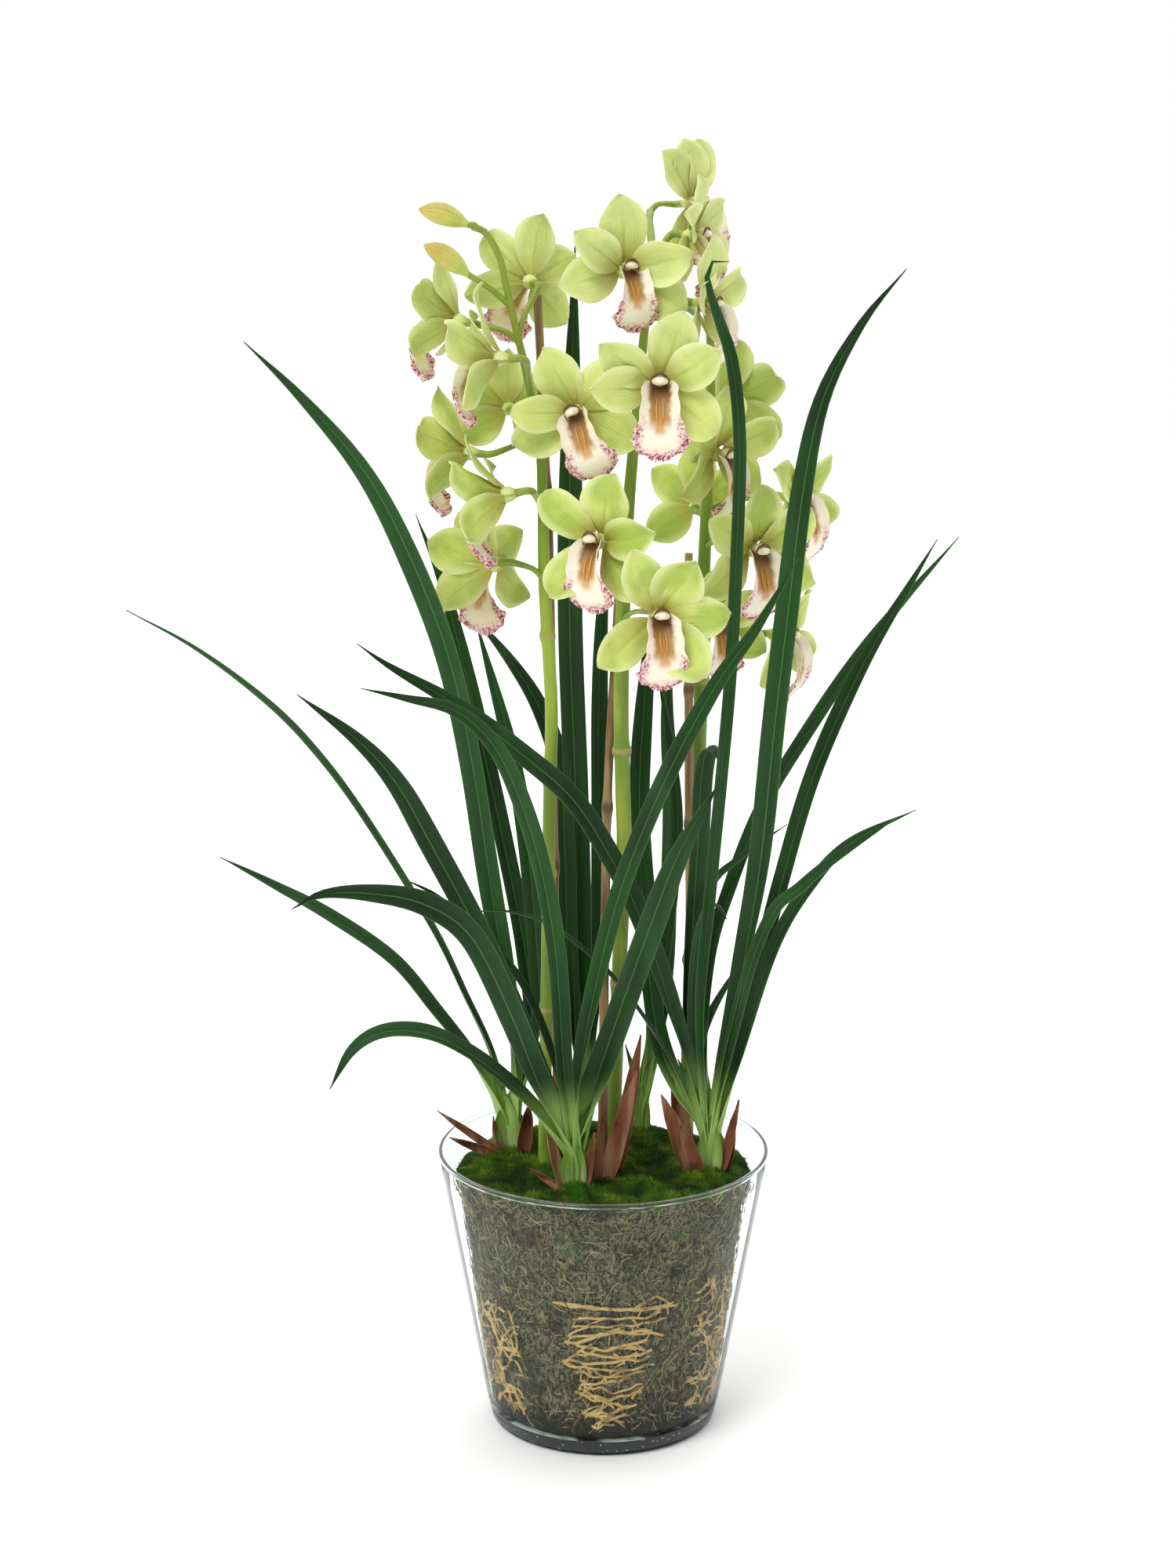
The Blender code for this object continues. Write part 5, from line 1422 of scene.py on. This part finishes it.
def bloom_frame(size, hub, azimuth, elevation, roll):
    """Matrix from the flower's own frame to the part's frame."""
    facing = direction(azimuth, elevation)
    upright = (UP - facing * UP.dot(facing)).normalized()
    across = upright.cross(facing)
    swing = math.radians(roll)
    upper = upright * math.cos(swing) - across * math.sin(swing)
    side = across * math.cos(swing) + upright * math.sin(swing)
    axes = Matrix((side, upper, facing)).transposed()
    return Matrix.Translation(Vector(hub)) @ axes.to_4x4() @ Matrix.Scale(size, 4)


def stem_tube(spike):
    """Flower stem, swollen at its joints, with a tan scar round each."""
    path = smooth_path(spike["route"], 240)
    path = [point for point in path if point.z > SOIL_TOP - 2.0]
    radii = []
    marks = []
    for point in path:
        near = min(abs(point.z - height) for height in spike["nodes"])
        swell = 1.0 + STEM_SWELL * math.exp(-(near / 4.0) ** 2)
        slim = mix(1.0, STEM_TIP_SHARE, ease((point.z - STEM_SLIM_FROM) / STEM_SLIM_LENGTH))
        lip = 0.45 if 0.8 < near < 2.4 else 0.0
        radius = spike["radius"] * slim * swell + lip
        radii.append((radius, radius * 0.94))
        marks.append(max(0.0, 1.0 - near / 2.6))
    return tube(path, radii, 20, marks=marks)


def flower_stalk(route, height, flower):
    """Stalk from the stem to the back of a bloom, swelling to the ovary."""
    path = smooth_path(route, 161)
    start = min(path, key=lambda point: abs(point.z - height))
    back = flower @ Vector((0.0, 0.0, HUB_BACK + 2.0))
    behind = flower @ Vector((0.0, 0.0, HUB_BACK - PEDICEL_REACH))
    away = (behind - start) * 0.35 + UP * 3.0
    line = smooth_path((start, start + away, behind, back), 26)
    radii = [outline(STALK_RADII, share) for share in shares(26)]
    return tube(line, [(radius, radius * 0.9) for radius in radii], 12, Vector((0.9, 0.3, 0.3)))


def bud(stalk, start, tip):
    """Closed bud and its stalk; the bud is keeled where its sepals meet."""
    stalk = Vector(stalk)
    start = Vector(start)
    tip = Vector(tip)
    heading = (tip - start).normalized()
    line = smooth_path((stalk, stalk.lerp(start, 0.5) + UP * 1.5, start, start + heading * 3.0), 16)
    stalk_tube = tube(line, [(1.9, 1.8)] * len(line), 12, UP)
    path = smooth_path((start, start.lerp(tip, 0.5) + UP * 1.2, tip), 34)
    radii = [outline(BUD_RADII, share) for share in shares(34)]
    shape = tube(path, [(radius, radius * 0.9) for radius in radii], BUD_SIDES, UP, 1)
    for index in range(len(shape.points)):
        number, k = divmod(index, BUD_SIDES)
        keel = 1.0 + BUD_KEEL * math.cos(3.0 * math.tau * k / BUD_SIDES + 0.6)
        middle = np.array(path[number])
        shape.points[index] = middle + (shape.points[index] - middle) * keel
    return [stalk_tube, shape]


def bud_ochre():
    bloom = settings().bloom
    made = Finish("bud_ochre", Roughness=0.45, Subsurface_Weight=0.15, Subsurface_Scale=0.003)
    u, v, _ = made.split(made.uv)
    ribs = made.sine(u * 75.0)
    body = made.blend(made.step(v, 0.1, 0.7), bloom.green, colour(206, 192, 98))
    body = made.blend(made.step(made.noise(70.0, 3.0), 0.44, 0.62) * 0.5, body, colour(180, 158, 76))
    made.set(Base_Color=made.blend(made.step(ribs, 0.3, 1.0) * 0.25, body, bloom.olive))
    made.bump(ribs, 0.3, 0.5)
    return made.material


def stem_green():
    stem = settings().stem
    made = Finish("stem_green", Roughness=0.42, Subsurface_Weight=0.08, Subsurface_Scale=0.002)
    patches = made.noise(26.0, 3.0, (1.0, 1.0, 0.35))
    streaks = made.noise(220.0, 3.0, (1.0, 1.0, 0.08))
    _, _, height = made.split(made.place)
    body = made.blend(made.step(patches, 0.40, 0.62), stem.green, stem.lit)
    body = made.blend(made.step(streaks, 0.50, 0.70) * 0.45, body, colour(84, 112, 24))
    body = made.blend(made.step(height, 0.56, 0.70) * 0.55, body, colour(134, 148, 58))
    made.set(Base_Color=made.blend(made.step(made.mark(), 0.15, 0.7) * 0.85, body, stem.scar))
    made.bump(streaks, 0.2, 0.5)
    return made.material


class BuildSpikes(bpy.types.Operator):
    """Build the flower stems with their stalks and buds"""

    bl_idname = "planting.spikes"
    bl_label = "Flower stems"

    def execute(self, context):
        green = stem_green()
        for number, spike in enumerate(SPIKES):
            shapes = [stem_tube(spike)]
            for _, owner, size, hub, azimuth, elevation, _, _, height, _ in BLOOMS:
                if owner == number:
                    flower = bloom_frame(size, hub, azimuth, elevation, 0.0)
                    shapes.append(flower_stalk(spike["route"], height, flower))
            if number == 0:
                for row in BUDS:
                    shapes += bud(*row)
            name = spike["name"]
            piece(f"flower_{name}", join(shapes), [green, bud_ochre()], (name,))
        return {"FINISHED"}


# Blooms

SEPAL_LENGTH = 43.5
SEPAL_WIDTH = 30.0
PETAL_LENGTH = 42.0
PETAL_WIDTH = 27.0
TEPAL_HALF = ((0.0, 0.17), (0.1, 0.44), (0.25, 0.77), (0.42, 0.96), (0.56, 1.0), (0.7, 0.92), (0.83, 0.69),
              (0.92, 0.41), (0.975, 0.18), (1.0, 0.04))
# A tepal bends back over its last stretch, from this share of its length on.
TEPAL_BEND = 0.78
TEPAL_SINK = 2.6
TEPAL_CURL = 20.0
SEPAL_CUP = 0.10
PETAL_CUP = 0.22
SEPAL_SEAT = -1.4
PETAL_SEAT = 1.2
TEPAL_SPREAD = (91.0, 31.0, 150.0, -33.0, 213.0)
HUB_RADIUS = 4.5
HUB_BACK = -7.0
PEDICEL_REACH = 9.0
# A lip tips forward with its tepals when they rise more than this many degrees.
LIP_RISE_FROM = 12.0
LIP_PATH = (
    # y, z, half width, rise of the side lobes
    (-0.6, 4.6, 6.8, 4.0),
    (-5.0, 9.0, 9.8, 8.0),
    (-10.5, 12.6, 10.9, 9.0),
    (-18.0, 15.8, 11.6, 7.0),
    (-25.0, 17.2, 13.8, 3.6),
    (-31.0, 16.6, 16.4, 0.8),
    (-37.0, 14.0, 16.9, -2.0),
    (-42.0, 10.0, 13.2, -3.5),
    (-45.0, 7.0, 6.0, -2.0),
)
LIP_FRILL = 2.1
LIP_ROWS = 34
LIP_COLUMNS = 12
LIP_THICKNESS = 0.8
RIDGE_PATH = ((1.6, -9.0, 12.6), (2.1, -14.0, 15.4), (1.9, -19.5, 17.2), (1.2, -24.5, 17.9))
RIDGE_RADIUS = 0.65
RIDGE_SWELL = ((0.0, 0.4), (0.5, 1.0), (1.0, 0.4))
CAP_PATH = ((0.0, 2.2, 12.6), (0.0, 1.0, 15.0), (0.0, 0.0, 16.4))
CAP_RADII = (2.8, 3.5, 3.7, 3.6, 3.1, 2.4, 1.5, 0.4)
COLUMN_RINGS = (
    # y, z, radius across, radius deep
    (0.4, 3.0, 3.4, 2.8),
    (2.0, 6.5, 4.0, 3.0),
    (2.6, 10.0, 4.9, 3.1),
    (1.6, 13.0, 5.3, 2.7),
    (0.6, 14.6, 4.6, 1.9),
)
# Path of the dark line over the column's cap, a painted shadow under its hood.
COLUMN_ARCH = ((-5.5, -2.4, 11.6), (-5.2, 1.4, 12.8), (-3.2, 4.6, 13.4), (0.0, 5.7, 13.6), (3.2, 4.6, 13.4),
               (5.2, 1.4, 12.8), (5.5, -2.4, 11.6))


def tepal(angle, rise, length, width, seat, cup, wave):
    """One broad tepal with a folded midrib and a softly waved edge; wave sets how it differs."""
    bloom = settings().bloom
    length *= 1.0 + 0.05 * math.sin(wave * 3.1)
    width *= 1.0 + 0.08 * math.sin(wave * 5.3)
    rise += 7.0 * math.sin(wave * 2.3)
    cup *= 1.0 + 1.0 * math.sin(wave * 4.1)
    twist = math.radians(18.0 * math.sin(wave * 6.7))
    reflex = 36.0 + 26.0 * math.sin(wave * 1.7)
    sway = 7.0 * math.sin(wave * 7.9)
    point = Vector(on_circle(HUB_RADIUS - TEPAL_SINK, math.radians(angle), seat))
    before = -TEPAL_SINK / length
    rows = []
    for share in shares(bloom.rows + 1):
        radial = Vector(on_circle(1.0, math.radians(angle + sway * share), 0.0))
        curl = TEPAL_CURL * (0.5 - (share + before) / 2.0)
        back = reflex * max(0.0, share - TEPAL_BEND) / (1.0 - TEPAL_BEND)
        slope = math.radians(rise + curl - back)
        way = radial * math.cos(slope) + Vector((0.0, 0.0, math.sin(slope)))
        point = point + way * length * (share - before)
        before = share
        flat = Vector((radial.y, -radial.x, 0.0))
        normal = Vector((0.0, 0.0, math.cos(slope))) - radial * math.sin(slope)
        across = flat * math.cos(twist * share) + normal * math.sin(twist * share)
        normal = normal * math.cos(twist * share) - flat * math.sin(twist * share)
        half = width / 2.0 * outline(TEPAL_HALF, share)
        row = []
        for t in span(6):
            lift = half * cup * abs(t) ** 1.6 - 0.9 * math.exp(-(t / 0.14) ** 2) * (1.0 - 0.7 * share)
            edge = math.sin(share * 8.0 + wave + (1.9 if t > 0.0 else 0.0))
            lift += 1.5 * edge * abs(t) ** 2.5 * min(1.0, share * 2.5)
            row.append(point + across * half * t + normal * lift)
        rows.append(row)
    shape = sheet([row[::-1] for row in rows], bloom.thickness / MM)
    shape.marks[:] = 0.5 + 0.5 * math.sin(wave * 9.7)
    return shape


def flower_hub():
    """Rounded seat where the tepals meet."""
    rings = ((-8.0, 2.3), (-6.0, 3.0), (-3.0, 4.6), (0.0, 5.2), (2.2, 4.4), (3.6, 2.4))
    path = [Vector((0.0, 0.0, height)) for height, _ in rings]
    return tube(path, [(radius, radius) for _, radius in rings], 12)


def tepals(spread, rise, wave):
    shapes = [flower_hub()]
    for number, angle in enumerate(spread):
        swing = wave + number * 1.9
        if number in (1, 2):
            shapes.append(tepal(angle, rise, PETAL_LENGTH, PETAL_WIDTH, PETAL_SEAT, PETAL_CUP, swing))
        else:
            shapes.append(tepal(angle, rise, SEPAL_LENGTH, SEPAL_WIDTH, SEPAL_SEAT, SEPAL_CUP, swing))
    return join(shapes)


def through_rings(rings, count):
    """Rows of numbers, count of them, on a smooth curve through the rings' rows."""
    rows = [np.array(row) for row in rings]
    made = []
    for share in shares(count):
        place = share * (len(rows) - 1)
        index = min(int(place), len(rows) - 2)
        made.append(through(rows, index, place - index))
    return made


def lip_sheet():
    """Three-lobed lip: side lobes stand up round the column, the middle lobe turns down."""
    middle = through_rings(LIP_PATH, LIP_ROWS)
    line = [Vector((0.0, row[0], row[1])) for row in middle]
    rows = []
    for (share, point, way), (_, _, half, rise) in zip(along(line), middle):
        normal = Vector((0.0, way.z, -way.y))
        frill = LIP_FRILL * ease((share - 0.45) / 0.2)
        tip = ease((share - 0.8) / 0.2)
        row = []
        for t in span(LIP_COLUMNS):
            lobe = abs(t) ** 2.6
            wave = math.sin(t * 17.0 + share * 21.0) * frill * ease((max(abs(t), tip) - 0.5) / 0.5)
            uneven = 1.0 + 0.05 * lobe * math.sin(share * 37.0 + (1.4 if t > 0.0 else 0.0))
            row.append(point + Vector((half * t * uneven, 0.0, 0.0)) + normal * (rise * lobe + wave))
        rows.append(row)
    return sheet([row[::-1] for row in rows], LIP_THICKNESS)


def callus_ridges():
    """Two ridges down the middle of the lip's throat."""
    radii = [(RIDGE_RADIUS * outline(RIDGE_SWELL, share),) * 2 for share in shares(14)]
    shapes = []
    for side in (-1.0, 1.0):
        path = smooth_path([(side * x, y, z) for x, y, z in RIDGE_PATH], len(radii))
        shapes.append(tube(path, radii, 8, finish=1))
    return shapes


def column_with_cap():
    """Arched column with the pale cap on its end and the dark line over it, a painted shadow round the cap.
    """
    path = smooth_path([(0.0, y, z) for y, z, _, _ in COLUMN_RINGS], 18)
    radii = [(row[2], row[3]) for row in through_rings(COLUMN_RINGS, len(path))]
    body = tube(path, radii, 20, finish=2, marks=shares(len(path)))
    radii = [(radius, radius * 0.6) for radius in CAP_RADII]
    cap = tube(smooth_path(CAP_PATH, len(radii)), radii, 16, finish=3)
    radii = [(0.3 + 0.5 * math.sin(math.pi * share),) * 2 for share in shares(30)]
    return [body, cap, tube(smooth_path(COLUMN_ARCH, len(radii)), radii, 8, UP, 4)]


def tepal_green():
    bloom = settings().bloom
    made = Finish("tepal_green", Roughness=0.5, Subsurface_Weight=0.2, Subsurface_Scale=0.002,
                  Subsurface_Radius=(1.0, 1.0, 0.3), Specular_IOR_Level=0.3)
    u, v, _ = made.split(made.uv)
    _, _, height = made.split(made.place)
    across = abs(u - 0.5) * 2.0
    veins = made.sine(u * 130.0 + made.noise(60.0, 2.0) * 5.0)
    patches = made.noise(34.0, 3.0)
    body = made.blend(made.step(patches + made.mark() * 0.12, 0.42, 0.66), bloom.green, bloom.olive)
    body = made.blend(made.step(height, 0.60, 0.78) * 0.4, body, bloom.pale)
    body = made.blend(made.step(veins, 0.0, 1.0) * 0.28, body, bloom.pale)
    body = made.blend(made.step(across, 0.50, 0.98) * 0.65, body, bloom.pale)
    body = made.blend(made.step(v, 0.84, 1.0) * 0.4, body, bloom.pale)
    body = made.blend(made.step(across, 0.12, 0.0) * made.step(v, 0.9, 0.4) * 0.5, body, bloom.olive)
    made.set(Base_Color=made.blend(made.step(v, 0.46, 0.04) * 0.75, body, bloom.blush))
    made.bump(veins, 0.18, 0.6)
    return made.material


def lip_cream():
    bloom = settings().bloom
    made = Finish("lip_cream", Roughness=0.5, Subsurface_Weight=0.15, Subsurface_Scale=0.002)
    u, v, _ = made.split(made.uv)
    across = abs(u - 0.5) * 2.0
    spots = made.cells(520.0)
    blotches = made.noise(200.0, 2.0)
    ragged = across + (blotches - 0.5) * 0.3
    throat = made.step(v, 0.60, 0.42) * made.step(ragged + v * 0.5, 0.92, 0.58)
    # The throat's brown is partly its own colour and partly painted shade, darkest at its top under the
    # column.
    deep = made.blend(made.step(v, 0.12, 0.40), colour(112, 74, 34), bloom.throat)
    body = made.blend(throat, bloom.cream, deep)
    glow = made.step(v, 0.36, 0.50) * made.step(v, 0.66, 0.56) * made.step(ragged, 0.32, 0.1)
    body = made.blend(glow * 0.8, body, bloom.callus)
    edge = made.larger(made.step(ragged, 0.52, 0.86) * made.step(v, 0.36, 0.58), made.step(v, 0.76, 0.92))
    body = made.blend(edge * 0.5, body, colour(232, 156, 178))
    specks = made.step(spots + (blotches - 0.5) * 0.5, 0.56, 0.36) * edge
    made.set(Base_Color=made.blend(specks * 0.92, body, bloom.spot))
    made.bump(blotches, 0.3, 0.4)
    return made.material


def callus_ochre():
    made = Finish("callus_ochre", Roughness=0.45)
    grain = made.noise(500.0, 2.0)
    made.set(Base_Color=made.blend(made.step(grain, 0.4, 0.6), settings().bloom.callus, colour(196, 140, 64)))
    return made.material


def column_cream():
    made = Finish("column_cream", Roughness=0.45, Subsurface_Weight=0.15, Subsurface_Scale=0.002)
    far = made.mark()
    specks = made.noise(500.0, 2.0)
    body = made.blend(made.step(far, 0.1, 0.6), colour(196, 190, 100), colour(236, 220, 176))
    made.set(Base_Color=made.blend(made.step(specks, 0.6, 0.7) * 0.35, body, colour(150, 70, 80)))
    return made.material


def cap_white():
    made = Finish("cap_white", Roughness=0.4)
    made.set(Base_Color=made.blend(made.noise(400.0, 2.0), colour(250, 246, 230), colour(236, 220, 176)))
    return made.material


def arch_painted_shadow():
    made = Finish("arch_painted_shadow", Roughness=0.5)
    # Painted shadow: the dark line round the column's cap.
    made.set(Base_Color=made.blend(made.noise(300.0, 2.0), colour(64, 40, 26), colour(112, 78, 48)))
    return made.material


class BuildBlooms(bpy.types.Operator):
    """Build the tepals, lips and columns of the blooms"""

    bl_idname = "planting.blooms"
    bl_label = "Blooms"

    def execute(self, context):
        green = tepal_green()
        inside = [lip_cream(), callus_ochre(), column_cream(), cap_white(), arch_painted_shadow()]
        for number, (name, _, size, hub, azimuth, elevation, roll, rise, _, spread) in enumerate(BLOOMS):
            flat = bloom_frame(size, hub, azimuth, elevation, 0.0 if spread else roll)
            rolled = bloom_frame(size, hub, azimuth, elevation, roll)
            shape = tepals(spread or TEPAL_SPREAD, rise, number * 2.3).moved(flat)
            piece(f"tepals_{name}", shape, [green], (f"bloom_{name}_tepals",))
            if name in LIPLESS_BLOOMS:
                continue
            turn, share = LIP_TURNS.get(name, (0.0, 1.0))
            swing = Matrix.Rotation(math.radians(turn), 4, "Y") @ Matrix.Scale(share, 4)
            swing @= Matrix.Rotation(math.radians(-max(0.0, rise - LIP_RISE_FROM) * 0.7), 4, "X")
            shape = join([lip_sheet(), *callus_ridges(), *column_with_cap()]).moved(rolled @ swing)
            piece(f"lip_{name}", shape, inside, (f"bloom_{name}_lip",))
        return {"FINISHED"}


# Stage

CAMERA_PLACE = (-9.9, -2100.0, 941.0)
CAMERA_PITCH = 76.22
CAMERA_LENS = 78.6


class BuildStage(bpy.types.Operator):
    """Set up the pale floor, the soft lights and the camera"""

    bl_idname = "planting.stage"
    bl_label = "Stage"

    def execute(self, context):
        stage = settings().stage
        scene = context.scene
        half = stage.floor_size / MM / 2.0
        corners = [(-half, -half, 0.0), (half, -half, 0.0), (half, half, 0.0), (-half, half, 0.0)]
        mesh = bpy.data.meshes.new("floor")
        mesh.from_pydata([tuple(value * MM for value in corner) for corner in corners], [], [(0, 1, 2, 3)])
        floor = bpy.data.objects.new("floor", mesh)
        scene.collection.objects.link(floor)
        paint = Finish("floor_paint", Roughness=0.7)
        clouds = paint.noise(3.0, 2.0)
        paint.set(Base_Color=paint.blend(clouds * 0.2, stage.floor_colour, colour(244, 244, 242)))
        mesh.materials.append(paint.material)
        world = bpy.data.worlds.new("studio")
        world.use_nodes = True
        sky = Tree(world.node_tree, "Background")
        _, depth, height = sky.split(sky.way)
        front = sky.step(depth, 0.1, -0.6)
        above = sky.step(height, 0.1, 0.7)
        sky.set(Color=(1.0, 1.0, 1.0, 1.0), Strength=(above * 0.3 + 1.0) * (1.0 - front * 0.6))
        scene.world = world
        scene.view_settings.view_transform = "Standard"
        soft_sun("key_light", -35.0, 48.0, 1.6, 30.0)
        soft_sun("back_light", 150.0, 60.0, 0.5, 60.0)
        lens = bpy.data.cameras.new("camera")
        lens.sensor_fit = "VERTICAL"
        lens.sensor_height = 36.0
        lens.lens = CAMERA_LENS
        camera = bpy.data.objects.new("camera", lens)
        camera.location = Vector(CAMERA_PLACE) * MM
        camera.rotation_euler = (math.radians(CAMERA_PITCH), 0.0, 0.0)
        scene.collection.objects.link(camera)
        scene.camera = camera
        return {"FINISHED"}


def soft_sun(name, azimuth, elevation, strength, spread):
    """Broad even light that comes from an azimuth and an elevation."""
    lamp = bpy.data.lights.new(name, "SUN")
    lamp.energy = strength
    lamp.angle = math.radians(spread)
    made = bpy.data.objects.new(name, lamp)
    made.rotation_euler = (-direction(azimuth, elevation)).to_track_quat("-Z", "Y").to_euler()
    bpy.context.scene.collection.objects.link(made)


class PlantingPanel(bpy.types.Panel):
    """List of the planting's pieces, in the sidebar"""

    bl_idname = "VIEW3D_PT_planting"
    bl_label = "Cymbidium planting"
    bl_space_type = "VIEW_3D"
    bl_region_type = "UI"
    bl_category = "Cymbidium"

    def draw(self, context):
        planting = context.scene.planting
        for title, group, operators in SECTIONS:
            box = self.layout.box()
            box.label(text=title)
            for name in getattr(planting, group).bl_rna.properties.keys():
                if name not in ("rna_type", "name"):
                    box.prop(getattr(planting, group), name)
            for operator in operators:
                box.operator(operator.bl_idname)


SECTIONS = (
    ("Stage", "stage", (BuildStage,)),
    ("Vase", "vase", (BuildVase,)),
    ("Filling", "filling", (BuildFilling, BuildRoots, BuildMoss)),
    ("Leaves", "leaf", (BuildFans, BuildSheaths)),
    ("Stems", "stem", (BuildCanes, BuildSpikes)),
    ("Blooms", "bloom", (BuildBlooms,)),
)
GROUPS = (VaseSettings, FillingSettings, LeafSettings, StemSettings, BloomSettings, StageSettings,
          PlantingSettings)
OPERATORS = [operator for _, _, operators in SECTIONS for operator in operators]


def register():
    for group in GROUPS:
        bpy.utils.register_class(group)
    for operator in OPERATORS:
        bpy.utils.register_class(operator)
    bpy.utils.register_class(PlantingPanel)
    bpy.types.Scene.planting = PointerProperty(type=PlantingSettings)


def unregister():
    del bpy.types.Scene.planting
    bpy.utils.unregister_class(PlantingPanel)
    for operator in reversed(OPERATORS):
        bpy.utils.unregister_class(operator)
    for group in reversed(GROUPS):
        bpy.utils.unregister_class(group)


def main():
    register()
    for operator in OPERATORS:
        family, name = operator.bl_idname.split(".")
        getattr(getattr(bpy.ops, family), name)()


if __name__ == "__main__":
    main()
